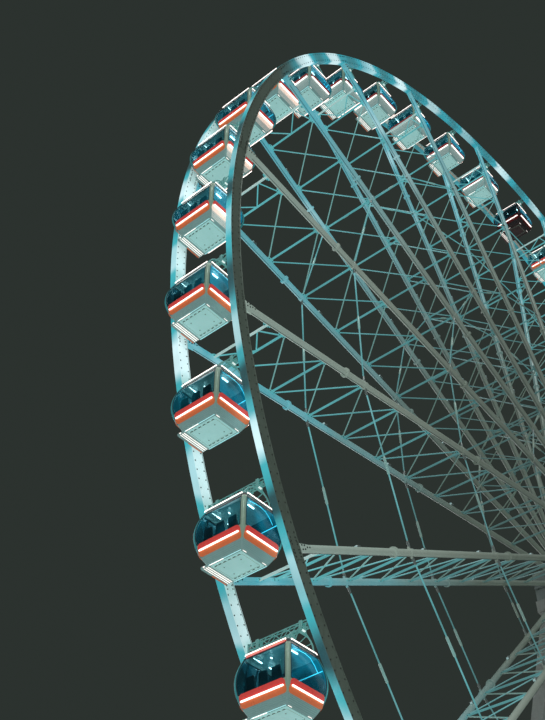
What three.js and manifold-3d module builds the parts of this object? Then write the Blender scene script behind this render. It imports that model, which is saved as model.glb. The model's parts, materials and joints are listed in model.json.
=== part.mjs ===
// A transportable observation wheel with 42 glazed cabins, as a 1:2 scale model.
// Millimetres, +Z up. The origin is on the ground, under the middle of the hub, and the axle lies along Y.
import * as THREE from 'three';
import { mergeVertices } from 'three/addons/utils/BufferGeometryUtils.js';
import Module from 'manifold-3d';

const wasm = await Module();
wasm.setup();

// The wheel
const bayCount = 21;            // spoke frames round the hub
const cabinsPerBay = 2;
const ringRadius = 13750;       // centreline of the rim rings, and the circle of the cabin pivots
const hubHeight = 16000;
const ringOffset = 617;         // middle of each ring, to each side of the wheel's centre plane
const ringWidth = 120;          // along the axle
const ringDepth = 234;          // along the radius
const facetsPerCabin = 2;       // flats of each ring
const darkCabin = 11;           // the one painted black and dark red
const seatGap = 0.3;            // between two pieces that bear on each other
const weldDistance = 1e-3;      // corners of a solid that lie closer than this are one corner

// The spoke frames: a near and a far tube, joined by struts, and tied to the next frame at three levels
const apexOffset = 741;         // where the tubes' lines would meet the axle line
const tubeDiameter = 115;
const tubeSides = 8;
const strutWidth = 40;
const tieWidth = 26;
const outermostNode = 0.915;    // share of the ring radius
const nodeStep = 0.0775;
const nodeCount = 10;
const tiedNodes = [2, 5, 8];
const framesPerSet = 7;
const endStrutShare = 0.943;    // a thicker strut near the rim
const endStrutWidth = 56;
const tubeEndGap = 0.9;         // a tube's slant tips its square end by half a millimetre

// The hub
const hubFlangeRadius = 900;    // to the flats that the tubes stand on
const hubFlangeWidth = 190;
const hubDrumRadius = 420;
const thrustCollarRadius = 230;
const spindleRadius = 150;
const spindleReach = 1560;

// A cabin's levels: the height from its pivot, and the half widths along X and Y
const cabinFloor = { z: -1160, x: 272, y: 315 };
const cabinSill = { z: -860, x: 407, y: 451 };
const cabinWaist = { z: -700, x: 425, y: 470 };
const cabinHead = { z: -330, x: 323, y: 396 };
const cabinRoofTop = { z: -215, x: 230, y: 300 };
const cabinWall = 20;
const cornerPost = 48;          // width of the opaque corner post on each face
const floorThickness = 40;
const doorHalf = 190;
const stepHalf = 262;
const stepReach = 442;          // how far the door step reaches along +Y
const stepThickness = 36;
const axleBeamWidth = 70;
const axleBeamHeight = 120;
const axleBeamRise = 25;        // of the beam's middle above the pivot, which passes through its ends
const hangerOffset = 215;       // the two hangers between the axle beam and the roof
const hangerWidth = 50;

// The stand
const baseHalfLength = 5600;
const baseHalfWidth = 3000;
const baseBeamWidth = 300;
const baseBeamHeight = 260;
const baseCrossBeams = [-5450, -2500, 0, 2500, 5450];
const baseLongBeams = [-2850, -700, 700, 2850];
const legFootX = 5000;
const legFootY = 2850;
const legHeadX = 190;
const legHeadY = 1300;
const legWidth = 300;
const legOverrun = 0.02;        // share by which a leg runs past its foot, before it is cut level
const footPlateSize = 620;
const footPlateThickness = 40;
const legTieHeight = 8000;
const legTieWidth = 200;
const headBlock = [860, 480, 300];
const bearingBlock = [760, 440, 780];
const bearingBore = 158;
const bearingSides = 24;

// The boarding deck
const deckTop = 1030;
const deckThickness = 60;
const deckHalfLength = 2400;
const deckHalfWidth = 2950;
const deckPostSize = 120;
const deckPostX = [-2250, 0, 2250];
const railHeight = 550;
const railWidth = 40;
const railInset = 60;
const railPostSpacing = 1600;
const cabinWayHalf = 700;         // the deck's ends stay open where the cabins pass
const stairWidth = 1000;
const stairMiddleY = 1450;
const stairSteps = 12;
const stairGoing = 130;
const stairWaist = 110;

const bayAngle = 2 * Math.PI / bayCount;
const cabinCount = bayCount * cabinsPerBay;
const facetCount = facetsPerCabin * cabinCount;
const flangeFace = apexOffset + hubFlangeWidth / 2;
const bearingFace = legHeadY - bearingBlock[1] / 2;

const materials = {
  rimSteel: new THREE.MeshStandardMaterial({ color: 0xa9c9cc, roughness: 0.45, metalness: 0.3 }),
  spokeSteel: new THREE.MeshStandardMaterial({ color: 0xb5c4c0, roughness: 0.5, metalness: 0.3 }),
  hubSteel: new THREE.MeshStandardMaterial({ color: 0x9fb0b0, roughness: 0.5, metalness: 0.4 }),
  cabinShell: new THREE.MeshStandardMaterial({ color: 0x5f8c8c, roughness: 0.35, metalness: 0.1 }),
  cabinDark: new THREE.MeshStandardMaterial({ color: 0x2a1d20, roughness: 0.35, metalness: 0.1 }),
  standSteel: new THREE.MeshStandardMaterial({ color: 0xc6cfcd, roughness: 0.5, metalness: 0.3 }),
  deckPlate: new THREE.MeshStandardMaterial({ color: 0x8d9696, roughness: 0.7, metalness: 0.5 }),
};

// Solids and joins

function solidFrom(geometry) {
  const bare = new THREE.BufferGeometry();
  bare.setAttribute('position', geometry.getAttribute('position').clone());
  if (geometry.index) bare.setIndex(geometry.index.clone());
  const merged = mergeVertices(bare, weldDistance);
  return new wasm.Manifold(new wasm.Mesh({
    numProp: 3,
    vertProperties: new Float32Array(merged.getAttribute('position').array),
    triVerts: new Uint32Array(merged.index.array),
  }));
}

function geometryFrom(solid) {
  const mesh = solid.getMesh();
  const geometry = new THREE.BufferGeometry();
  geometry.setAttribute('position', new THREE.BufferAttribute(new Float32Array(mesh.vertProperties), 3));
  geometry.setIndex(new THREE.BufferAttribute(new Uint32Array(mesh.triVerts), 1));
  geometry.computeVertexNormals();
  return geometry;
}

function joined(solids) {
  return solids.reduce((all, solid) => all.add(solid));
}

function box(sizeX, sizeY, sizeZ, x, y, z) {
  return solidFrom(new THREE.BoxGeometry(sizeX, sizeY, sizeZ).translate(x, y, z));
}

// A straight bar from one point to another, with its first flat turned towards the side vector.
function bar(from, to, diameter, sides, side = new THREE.Vector3(0, 1, 0)) {
  const along = new THREE.Vector3().subVectors(to, from);
  const length = along.length();
  along.normalize();
  const across = new THREE.Vector3().crossVectors(side, along).normalize();
  const outward = new THREE.Vector3().crossVectors(across, along);
  const geometry = new THREE.CylinderGeometry(diameter / 2, diameter / 2, length, sides);
  geometry.rotateY(Math.PI / sides);
  geometry.applyMatrix4(new THREE.Matrix4().makeBasis(across, along, outward));
  const middle = new THREE.Vector3().addVectors(from, to).multiplyScalar(0.5);
  return solidFrom(geometry.translate(middle.x, middle.y, middle.z));
}

// A square bar: the diameter of a four-sided cylinder is its diagonal.
function squareBar(from, to, width, side) {
  return bar(from, to, width * Math.SQRT2, 4, side);
}

// A solid through a stack of upright rectangles: each level is its height and its half sizes.
function stack(levels) {
  const corners = levels.flatMap(({ z, x, y }) => [-x, -y, z, x, -y, z, x, y, z, -x, y, z]);
  const faces = [0, 2, 1, 0, 3, 2];
  for (let level = 0; level < levels.length - 1; level++) {
    for (let corner = 0; corner < 4; corner++) {
      const low = 4 * level + corner;
      const lowNext = 4 * level + (corner + 1) % 4;
      faces.push(low, lowNext, lowNext + 4, low, lowNext + 4, low + 4);
    }
  }
  const top = 4 * (levels.length - 1);
  faces.push(top, top + 1, top + 2, top, top + 2, top + 3);
  const geometry = new THREE.BufferGeometry();
  geometry.setAttribute('position', new THREE.Float32BufferAttribute(corners, 3));
  geometry.setIndex(faces);
  return solidFrom(geometry);
}

// A body turned about the axle line, with the middle of one flat on +X.
function turned(profile, sides) {
  const points = profile.map(([radius, y]) => new THREE.Vector2(radius / Math.cos(Math.PI / sides), y));
  return solidFrom(new THREE.LatheGeometry(points, sides, Math.PI / 2 - Math.PI / sides));
}

// The rim

function ringSolid(side) {
  const middle = side * ringOffset;
  const inner = ringRadius - ringDepth / 2;
  const outer = ringRadius + ringDepth / 2;
  const low = middle - ringWidth / 2;
  const high = middle + ringWidth / 2;
  return turned([[inner, low], [outer, low], [outer, high], [inner, high], [inner, low]], facetCount);
}

// The hub: a drum between two flanges, with a thrust collar and a spindle end on each side

function hubSolid() {
  const flangeBack = apexOffset - hubFlangeWidth / 2;
  const collarFace = bearingFace - seatGap;
  const half = [
    [hubDrumRadius, flangeBack], [hubFlangeRadius, flangeBack], [hubFlangeRadius, flangeFace],
    [thrustCollarRadius, flangeFace], [thrustCollarRadius, collarFace],
    [spindleRadius, collarFace], [spindleRadius, spindleReach], [0, spindleReach],
  ];
  const mirrored = half.map(([radius, y]) => [radius, -y]).reverse();
  return turned([...mirrored, ...half], bayCount);
}

// The spokes

function onTube(share, side, angle) {
  const radius = share * ringRadius;
  const y = side * (apexOffset - (apexOffset - ringOffset) * share);
  return new THREE.Vector3(radius * Math.cos(angle), y, radius * Math.sin(angle));
}

function nodeShare(node) {
  return outermostNode - node * nodeStep;
}

function spokeFrame(angle) {
  const innerShare = (hubFlangeRadius + tubeEndGap) / ringRadius;
  const outerShare = 1 - (ringDepth / 2 + tubeEndGap) / ringRadius;
  const tubes = [-1, 1].map((side) => bar(
    onTube(innerShare, side, angle), onTube(outerShare, side, angle), tubeDiameter, tubeSides));
  const radial = new THREE.Vector3(Math.cos(angle), 0, Math.sin(angle));
  const struts = Array.from({ length: nodeCount }, (_, node) => squareBar(
    onTube(nodeShare(node), -1, angle), onTube(nodeShare(node), 1, angle), strutWidth, radial));
  const endStrut = squareBar(
    onTube(endStrutShare, -1, angle), onTube(endStrutShare, 1, angle), endStrutWidth, radial);
  return joined([...tubes, ...struts, endStrut]);
}

// The ties run from this frame to the next one, or stop just short of the next set's tube.
function frameTies(angle, reachesNextSet) {
  const ties = [];
  for (const node of tiedNodes) {
    for (const side of [-1, 1]) {
      const from = onTube(nodeShare(node), side, angle);
      const to = onTube(nodeShare(node), side, angle + bayAngle);
      if (reachesNextSet) {
        const tubeFlat = tubeDiameter / 2 * Math.cos(Math.PI / tubeSides);
        const slant = tieWidth / 2 * Math.tan(bayAngle / 2);
        const short = (tubeFlat + slant + seatGap) / Math.cos(bayAngle / 2);
        to.addScaledVector(new THREE.Vector3().subVectors(to, from).normalize(), -short);
      }
      ties.push(squareBar(from, to, tieWidth));
    }
  }
  return ties;
}

function spokeSet() {
  const parts = [];
  for (let frame = 0; frame < framesPerSet; frame++) {
    const angle = frame * bayAngle;
    parts.push(spokeFrame(angle), ...frameTies(angle, frame === framesPerSet - 1));
  }
  return joined(parts);
}

// A cabin: a hollow barrel on a rectangle, with an opening between the posts of each face, and a doorway on +Y

function cabinSolid() {
  const shell = stack([cabinFloor, cabinSill, cabinWaist, cabinHead, cabinRoofTop]);
  const roomFloor = cabinFloor.z + floorThickness;
  const glazed = [cabinSill, cabinWaist, cabinHead];
  const room = glazed.map(({ z, x, y }) => ({ z, x: x - cabinWall, y: y - cabinWall }));
  const past = 2 * cabinWaist.y;
  const cuts = [
    stack([{ ...cabinFloor, z: roomFloor }, ...room]),
    stack(glazed.map(({ z, y }) => ({ z, x: past, y: y - cornerPost }))),
    stack(glazed.map(({ z, x }) => ({ z, x: x - cornerPost, y: past }))),
    box(2 * doorHalf, past, cabinSill.z - roomFloor, 0, past / 2, (cabinSill.z + roomFloor) / 2),
  ];
  const stepStart = cabinFloor.y - cabinWall;
  const step = box(2 * stepHalf, stepReach - stepStart, stepThickness,
    0, (stepReach + stepStart) / 2, cabinFloor.z + stepThickness / 2);
  return joined([shell.subtract(joined(cuts)), step, ...cabinHanger()]);
}

// The axle beam spans the rings, and two hangers carry the roof.
function cabinHanger() {
  const beamLength = 2 * (ringOffset - ringWidth / 2 - seatGap);
  const beam = box(axleBeamWidth, beamLength, axleBeamHeight, 0, 0, axleBeamRise);
  const hangers = [-1, 1].map((side) => box(
    hangerWidth, hangerWidth, -cabinRoofTop.z, 0, side * hangerOffset, cabinRoofTop.z / 2));
  return [beam, ...hangers];
}

// The stand

// A grillage of beams in one plane: a slab with an opening between each pair of neighbouring beams
function baseFrame() {
  const height = baseBeamHeight;
  const openings = baseCrossBeams.slice(1).flatMap((x, column) => baseLongBeams.slice(1).map((y, row) => box(
    x - baseCrossBeams[column] - baseBeamWidth, y - baseLongBeams[row] - baseBeamWidth, 2 * height,
    (x + baseCrossBeams[column]) / 2, (y + baseLongBeams[row]) / 2, height / 2)));
  return box(2 * baseHalfLength, 2 * baseHalfWidth, height, 0, 0, height / 2).subtract(joined(openings));
}

function aFrame(side) {
  const footZ = baseBeamHeight + seatGap;
  const headTop = hubHeight - bearingBlock[2] / 2 - seatGap;
  const headZ = headTop - headBlock[2] / 2;
  const legPoint = (share, sideX) => new THREE.Vector3(
    sideX * THREE.MathUtils.lerp(legFootX, legHeadX, share),
    side * THREE.MathUtils.lerp(legFootY, legHeadY, share),
    THREE.MathUtils.lerp(footZ, headZ, share));
  const tieShare = (legTieHeight - footZ) / (headZ - footZ);
  const parts = [box(...headBlock, 0, side * legHeadY, headZ)];
  for (const sideX of [-1, 1]) {
    parts.push(squareBar(legPoint(-legOverrun, sideX), legPoint(1, sideX), legWidth));
    parts.push(box(footPlateSize, baseBeamWidth, footPlateThickness,
      sideX * legFootX, side * legFootY, footZ + footPlateThickness / 2));
  }
  parts.push(squareBar(legPoint(tieShare, -1), legPoint(tieShare, 1), legTieWidth));
  const cutSize = 4 * legFootX;
  const below = box(cutSize, cutSize, cutSize, 0, 0, footZ - cutSize / 2);
  return joined(parts).subtract(below);
}

function bearing(side) {
  const block = box(...bearingBlock, 0, side * legHeadY, 0);
  const reach = side * legHeadY;
  const boreStart = new THREE.Vector3(0, reach - bearingBlock[1], 0);
  const boreEnd = new THREE.Vector3(0, reach + bearingBlock[1], 0);
  const bore = bar(boreStart, boreEnd, 2 * bearingBore, bearingSides, new THREE.Vector3(0, 0, 1));
  return block.subtract(bore);
}

function boardingDeck() {
  const plate = box(2 * deckHalfLength, 2 * deckHalfWidth, deckThickness, 0, 0, deckTop - deckThickness / 2);
  const postFoot = baseBeamHeight + seatGap;
  const postHeight = deckTop - deckThickness / 2 - postFoot;
  const posts = deckPostX.flatMap((x) => baseLongBeams.map((y) => box(
    deckPostSize, deckPostSize, postHeight, x, y, postFoot + postHeight / 2)));
  return joined([plate, ...posts]);
}

// A stretch of guard rail through the given points, with a post at each corner and between
function railRun(points) {
  const foot = deckTop + seatGap;
  const top = foot + railHeight;
  const parts = [];
  points.slice(1).forEach((end, index) => {
    const start = points[index];
    const z = top - railWidth / 2;
    parts.push(squareBar(new THREE.Vector3(...start, z), new THREE.Vector3(...end, z),
      railWidth, new THREE.Vector3(0, 0, 1)));
    const length = Math.hypot(end[0] - start[0], end[1] - start[1]);
    const spans = Math.max(1, Math.round(length / railPostSpacing));
    for (let post = index === 0 ? 0 : 1; post <= spans; post++) {
      const x = THREE.MathUtils.lerp(start[0], end[0], post / spans);
      const y = THREE.MathUtils.lerp(start[1], end[1], post / spans);
      parts.push(box(railWidth, railWidth, railHeight, x, y, foot + railHeight / 2));
    }
  });
  return joined(parts);
}

function stairs(sideX) {
  const rise = deckTop / stairSteps;
  const outline = new THREE.Shape();
  outline.moveTo(0, 0);
  for (let step = 0; step < stairSteps; step++) {
    outline.lineTo(step * stairGoing, (step + 1) * rise);
    outline.lineTo((step + 1) * stairGoing, (step + 1) * rise);
  }
  const run = stairSteps * stairGoing;
  outline.lineTo(run, deckTop - stairWaist - rise);
  outline.lineTo(stairWaist * stairGoing / rise, 0);
  outline.closePath();
  const geometry = new THREE.ExtrudeGeometry(outline, { depth: stairWidth, bevelEnabled: false });
  geometry.rotateX(Math.PI / 2);
  geometry.translate(-run, stairWidth / 2, 0);
  if (sideX > 0) geometry.rotateZ(Math.PI);
  return solidFrom(geometry);
}

// Placing the pieces

const wheel = new THREE.Group();
wheel.position.z = hubHeight;
const stand = new THREE.Group();
const part = new THREE.Group();
part.add(wheel, stand);

function addMesh(parent, name, solid, material) {
  const mesh = new THREE.Mesh(solid.isBufferGeometry ? solid : geometryFrom(solid), material);
  mesh.name = name;
  parent.add(mesh);
  return mesh;
}

addMesh(wheel, 'near_ring', ringSolid(-1), materials.rimSteel);
addMesh(wheel, 'far_ring', ringSolid(1), materials.rimSteel);
addMesh(wheel, 'hub', hubSolid(), materials.hubSteel);

const spokeGeometry = geometryFrom(spokeSet());
for (let set = 0; set < bayCount / framesPerSet; set++) {
  const mesh = addMesh(wheel, `spoke_set_${set + 1}`, spokeGeometry, materials.spokeSteel);
  mesh.rotation.y = -set * framesPerSet * bayAngle;
}

const cabinGeometry = geometryFrom(cabinSolid());
for (let cabin = 0; cabin < cabinCount; cabin++) {
  const angle = (cabin + 0.5) * bayAngle / cabinsPerBay;
  const name = `cabin_${String(cabin + 1).padStart(2, '0')}`;
  const material = cabin + 1 === darkCabin ? materials.cabinDark : materials.cabinShell;
  const mesh = addMesh(wheel, name, cabinGeometry, material);
  mesh.position.set(ringRadius * Math.cos(angle), 0, ringRadius * Math.sin(angle));
}

for (const [word, side] of [['near', -1], ['far', 1]]) {
  addMesh(stand, `${word}_a_frame`, aFrame(side), materials.standSteel);
  addMesh(wheel, `${word}_bearing`, bearing(side), materials.standSteel);
}
addMesh(stand, 'base_frame', baseFrame(), materials.standSteel);
addMesh(stand, 'boarding_deck', boardingDeck(), materials.deckPlate);

const edgeX = deckHalfLength - railInset;
const edgeY = deckHalfWidth - railInset;
const farRailEnd = stairMiddleY + stairWidth / 2 + railInset;
addMesh(stand, 'near_rail', railRun([
  [-edgeX, -cabinWayHalf], [-edgeX, -edgeY], [edgeX, -edgeY], [edgeX, -cabinWayHalf]]), materials.standSteel);
addMesh(stand, 'far_rail', railRun([
  [-edgeX, farRailEnd], [-edgeX, edgeY], [edgeX, edgeY], [edgeX, farRailEnd]]), materials.standSteel);

for (const [name, sideX] of [['entry_steps', -1], ['exit_steps', 1]]) {
  const mesh = addMesh(stand, name, stairs(sideX), materials.deckPlate);
  mesh.position.set(sideX * (deckHalfLength + seatGap), stairMiddleY, 0);
}

export default part;
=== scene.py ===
import json
import math
import bmesh
import bpy
from mathutils import Matrix, Vector

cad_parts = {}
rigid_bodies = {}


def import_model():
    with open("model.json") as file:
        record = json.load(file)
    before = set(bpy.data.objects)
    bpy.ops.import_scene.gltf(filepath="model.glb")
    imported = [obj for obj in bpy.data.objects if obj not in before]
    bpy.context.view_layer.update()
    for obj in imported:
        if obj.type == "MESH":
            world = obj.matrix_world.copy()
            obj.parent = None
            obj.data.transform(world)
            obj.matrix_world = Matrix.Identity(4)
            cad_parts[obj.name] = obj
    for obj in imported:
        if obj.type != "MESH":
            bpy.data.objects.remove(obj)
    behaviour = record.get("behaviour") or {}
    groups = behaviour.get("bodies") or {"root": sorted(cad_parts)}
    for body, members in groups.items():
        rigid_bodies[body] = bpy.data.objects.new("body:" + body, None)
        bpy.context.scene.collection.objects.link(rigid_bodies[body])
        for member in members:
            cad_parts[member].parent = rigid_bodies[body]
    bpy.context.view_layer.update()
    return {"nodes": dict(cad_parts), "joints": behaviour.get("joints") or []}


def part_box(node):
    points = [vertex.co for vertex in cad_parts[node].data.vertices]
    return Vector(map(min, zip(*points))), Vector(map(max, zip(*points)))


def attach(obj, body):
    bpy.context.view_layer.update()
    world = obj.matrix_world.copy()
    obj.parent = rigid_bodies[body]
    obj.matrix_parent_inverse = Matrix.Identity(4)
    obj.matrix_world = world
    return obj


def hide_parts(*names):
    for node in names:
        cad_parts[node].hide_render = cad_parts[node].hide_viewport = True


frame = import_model()

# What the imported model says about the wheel
joints = {joint["name"]: joint for joint in frame["joints"]}
hubCentre = Vector(joints["wheel_spin"]["pos_m"])
cabinNames = sorted(name for name in frame["nodes"] if name.startswith("cabin_"))
pivots = {name: Vector(joints[name + "_pivot"]["pos_m"]) for name in cabinNames}
ringLow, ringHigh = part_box("near_ring")
rimOuter = ringHigh.z - hubCentre.z
rimWidth = ringHigh.y - ringLow.y
rimMiddle = -(ringHigh.y + ringLow.y) / 2
pivotRadius = (pivots["cabin_01"] - hubCentre).length
bayCount = len(cabinNames) // 2
bayTurn = 2 * math.pi / bayCount
ways = (-1, 1)
print("frame read:", len(cabinNames), "cabins, rim radius", round(rimOuter, 3))

# Helpers for objects, materials and nodes


def newObject(name, data):
    made = bpy.data.objects.new(name, data)
    bpy.context.scene.collection.objects.link(made)
    return made


def newMaterial(name):
    material = bpy.data.materials.new(name)
    material.use_nodes = True
    return material, material.node_tree, material.node_tree.nodes["Principled BSDF"]


def setInputs(node, values):
    for label, value in values.items():
        node.inputs[label].default_value = value


def wire(tree, *rows):
    # rows of node, output, node and input
    for source, output, target, socket in rows:
        tree.links.new(source.outputs[output], target.inputs[socket])


# Camera, at the photograph's place: it looks up at the wheel from low on its near left side
cameraPlace = {
    "spot": (-22.19116, -8.48595, 1.51615),
    "yaw": 50.1347,          # degrees from +Y towards +X
    "pitch": 43.8129,
    "roll": -0.4868,
    "focalPixels": 1105.07,
    "frameHeight": 720,
    "sensor": 36.0,
    "clip": (0.1, 2000),
}


def addCamera(place):
    yaw, pitch, roll = (math.radians(place[key]) for key in ("yaw", "pitch", "roll"))
    forward = Vector((math.cos(pitch) * math.sin(yaw), math.cos(pitch) * math.cos(yaw), math.sin(pitch)))
    level = Vector((math.cos(yaw), -math.sin(yaw), 0))
    upright = level.cross(forward)
    right = math.cos(roll) * level + math.sin(roll) * upright
    up = math.cos(roll) * upright - math.sin(roll) * level
    data = bpy.data.cameras.new("camera")
    data.sensor_width = place["sensor"]
    data.lens = place["focalPixels"] * place["sensor"] / place["frameHeight"]
    data.clip_start, data.clip_end = place["clip"]
    camera = newObject("camera", data)
    camera.matrix_world = Matrix.Translation(place["spot"]) @ Matrix((right, up, -forward)).transposed().to_4x4()
    bpy.context.scene.camera = camera


addCamera(cameraPlace)

# Floor, world and lamps
studio = {
    "floorSize": 900,
    "floorShade": (0.62, 0.63, 0.62),
    "floorRoughness": 0.9,
    "worldShade": (0.025, 0.032, 0.028),
    "worldStrength": 1.0,
    "viewTransform": "Standard",
    # direction the light travels, strength, spread in degrees
    "suns": [((0.35, 0.45, -1.0), 0.9, 30), ((0.85, 0.5, -0.30), 0.55, 35), ((-0.6, -0.8, -0.35), 0.5, 40)],
}


def addStudio(look):
    half = look["floorSize"] / 2
    mesh = bpy.data.meshes.new("floor")
    mesh.from_pydata([(-half, -half, 0), (half, -half, 0), (half, half, 0), (-half, half, 0)], [], [(0, 1, 2, 3)])
    floor = newObject("floor", mesh)
    material, _, shader = newMaterial("floor")
    setInputs(shader, {"Base Color": (*look["floorShade"], 1), "Roughness": look["floorRoughness"]})
    mesh.materials.append(material)
    world = bpy.data.worlds.new("studio")
    world.use_nodes = True
    setInputs(world.node_tree.nodes["Background"],
              {"Color": (*look["worldShade"], 1), "Strength": look["worldStrength"]})
    bpy.context.scene.world = world
    bpy.context.scene.view_settings.view_transform = look["viewTransform"]
    for number, (direction, strength, spread) in enumerate(look["suns"]):
        data = bpy.data.lights.new(f"sun{number}", "SUN")
        data.energy = strength
        data.angle = math.radians(spread)
        lamp = newObject(f"sun{number}", data)
        lamp.visible_transmission = False    # not seen as a pale patch through two panes
        lamp.rotation_mode = "QUATERNION"
        lamp.rotation_quaternion = Vector(direction).to_track_quat("-Z", "Y")


addStudio(studio)

# Shader groups, each built once and placed in many materials


def shaderGroup(name, inputs, outputs):
    # a tuple makes a colour socket, a number makes a plain one
    group = bpy.data.node_groups.new(name, "ShaderNodeTree")
    for label, value in inputs.items():
        kind = "NodeSocketColor" if isinstance(value, tuple) else "NodeSocketFloat"
        group.interface.new_socket(label, in_out="INPUT", socket_type=kind).default_value = value
    for label, kind in outputs.items():
        group.interface.new_socket(label, in_out="OUTPUT", socket_type=kind)
    return group, group.nodes.new("NodeGroupInput"), group.nodes.new("NodeGroupOutput")


def feed(tree, socket, value):
    # a socket gets a number, a colour or a link from another node
    if isinstance(value, (int, float)):
        socket.default_value = value
    elif isinstance(value, tuple):
        socket.default_value = (*value, 1)
    else:
        tree.links.new(value, socket)


def mathNode(tree, operation, *values):
    node = tree.nodes.new("ShaderNodeMath")
    node.operation = operation
    for socket, value in zip(node.inputs, values):
        feed(tree, socket, value)
    return node.outputs["Value"]


def product(tree, *values):
    made = values[0]
    for value in values[1:]:
        made = mathNode(tree, "MULTIPLY", made, value)
    return made


def rangeNode(tree, value, *ends):
    node = tree.nodes.new("ShaderNodeMapRange")
    node.interpolation_type = "SMOOTHSTEP"
    for label, end in zip(("Value", "From Min", "From Max", "To Min", "To Max"), (value, *ends)):
        feed(tree, node.inputs[label], end)
    return node.outputs["Result"]


def noiseNode(tree, place, scale, detail):
    node = tree.nodes.new("ShaderNodeTexNoise")
    for label, value in (("Vector", place), ("Scale", scale), ("Detail", detail)):
        feed(tree, node.inputs[label], value)
    return node.outputs["Fac"]


def mixColours(tree, share, first, second, blend="MIX"):
    node = tree.nodes.new("ShaderNodeMix")
    node.data_type = "RGBA"
    node.blend_type = blend
    for socket, value in ((node.inputs["Factor"], share), (node.inputs[6], first), (node.inputs[7], second)):
        feed(tree, socket, value)
    return node.outputs[2]


def objectPlace(tree):
    return tree.nodes.new("ShaderNodeTexCoord").outputs["Object"]


def paintWearGroup():
    # paint that is dusty and dulled in patches, with rain streaks and a fine grain
    tree, start, end = shaderGroup(
        "paintWear",
        {"Paint": (0.5, 0.5, 0.5, 1), "Worn": (0.3, 0.3, 0.3, 1), "Patch Scale": 1.5, "Grain Scale": 60.0,
         "Wear": 0.5, "Smoothest": 0.3, "Roughest": 0.6},
        {"Color": "NodeSocketColor", "Roughness": "NodeSocketFloat", "Height": "NodeSocketFloat"})
    given = start.outputs
    place = objectPlace(tree)
    patches = noiseNode(tree, place, given["Patch Scale"], 6.0)
    streaks = tree.nodes.new("ShaderNodeMapping")
    setInputs(streaks, {"Scale": (9.0, 9.0, 0.8)})
    tree.links.new(place, streaks.inputs["Vector"])
    runs = noiseNode(tree, streaks.outputs["Vector"], 1.3, 3.0)
    grain = noiseNode(tree, place, given["Grain Scale"], 3.0)
    dirt = mathNode(tree, "ADD", rangeNode(tree, patches, 0.42, 0.70, 0.0, 0.75),
                    rangeNode(tree, runs, 0.5, 0.75, 0.0, 0.45))
    share = product(tree, mathNode(tree, "MINIMUM", dirt, 1.0), given["Wear"])
    base = mixColours(tree, share, given["Paint"], given["Worn"])
    shade = rangeNode(tree, grain, 0.3, 0.7, 0.88, 1.08)
    tint = tree.nodes.new("ShaderNodeCombineColor")
    for label in ("Red", "Green", "Blue"):
        tree.links.new(shade, tint.inputs[label])
    made = {
        "Color": mixColours(tree, 1.0, base, tint.outputs["Color"], "MULTIPLY"),
        "Roughness": rangeNode(tree, share, 0.0, 0.8, given["Smoothest"], given["Roughest"]),
        "Height": mathNode(tree, "ADD", grain, product(tree, patches, 0.5)),
    }
    for label, value in made.items():
        tree.links.new(value, end.inputs[label])
    return tree


def lightWashGroup():
    # the colour that the wheel's own floodlights throw on the steel, painted as emission: strongest at the rim,
    # with a paler patch beside each cabin, over a painted glow that runs from the base glow to the rim glow
    tree, start, end = shaderGroup(
        "lightWash",
        {"Hub Height": 16.0, "Rim Radius": 13.75, "Begins": 0.4, "Patches": 42.0, "Patch Share": 0.0,
         "Near Share": 1.0, "Low Share": 1.0, "Side Start": -100.0, "Side End": -99.0, "Contrast": 0.72,
         "Wash": (0.0, 0.4, 0.45, 1), "Base Glow": (0.0, 0.0, 0.0, 1), "Rim Glow": (0.0, 0.0, 0.0, 1),
         "Patch": (0.7, 0.95, 1.0, 1)},
        {"Color": "NodeSocketColor"})
    given = start.outputs
    place = objectPlace(tree)
    split = tree.nodes.new("ShaderNodeSeparateXYZ")
    tree.links.new(place, split.inputs["Vector"])
    height = mathNode(tree, "SUBTRACT", split.outputs["Z"], given["Hub Height"])
    across = split.outputs["X"]
    radius = mathNode(tree, "SQRT", mathNode(tree, "ADD", product(tree, across, across),
                                             product(tree, height, height)))
    reach = mathNode(tree, "DIVIDE", radius, given["Rim Radius"])
    fade = rangeNode(tree, reach, given["Begins"], 1.0, 0.0, 1.0)
    # a wave with one crest for each cabin, a little uneven, and patches of uneven strength
    turn = mathNode(tree, "DIVIDE", mathNode(tree, "ARCTAN2", height, across), 2 * math.pi)
    uneven = noiseNode(tree, place, 0.9, 2.0)
    shifted = mathNode(tree, "ADD", product(tree, turn, given["Patches"]), product(tree, uneven, 0.5))
    wave = mathNode(tree, "ABSOLUTE", mathNode(tree, "SUBTRACT", mathNode(tree, "FRACT", shifted), 0.5))
    spot = rangeNode(tree, wave, 0.09, 0.22, 1.0, 0.0)
    trough = rangeNode(tree, wave, 0.24, 0.46, 1.0, given["Contrast"])
    strength = rangeNode(tree, noiseNode(tree, place, 0.35, 2.0), 0.35, 0.62, 0.25, 1.0)
    lit = mixColours(tree, product(tree, spot, strength, given["Patch Share"]), given["Wash"], given["Patch"])
    # on the near side the wash reaches only the outer ends of the upper spokes
    climb = rangeNode(tree, mathNode(tree, "DIVIDE", height, radius), 0.18, 0.42, given["Near Share"], 1.0)
    nearHere = product(tree, climb, rangeNode(tree, reach, 0.55, 0.92, given["Near Share"], 1.0))
    nearness = rangeNode(tree, split.outputs["Y"], -0.3, 0.3, nearHere, 1.0)
    oneSide = rangeNode(tree, across, given["Side Start"], given["Side End"], 0.0, 1.0)
    low = rangeNode(tree, height, -2.0, 2.0, given["Low Share"], 1.0)
    mask = product(tree, fade, trough, rangeNode(tree, uneven, 0.3, 0.7, 0.75, 1.0), low, nearness, oneSide)
    base = mixColours(tree, fade, given["Base Glow"], given["Rim Glow"])
    tree.links.new(mixColours(tree, mask, base, lit), end.inputs["Color"])
    return tree


groups = {"paintWear": paintWearGroup(), "lightWash": lightWashGroup()}
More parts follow.
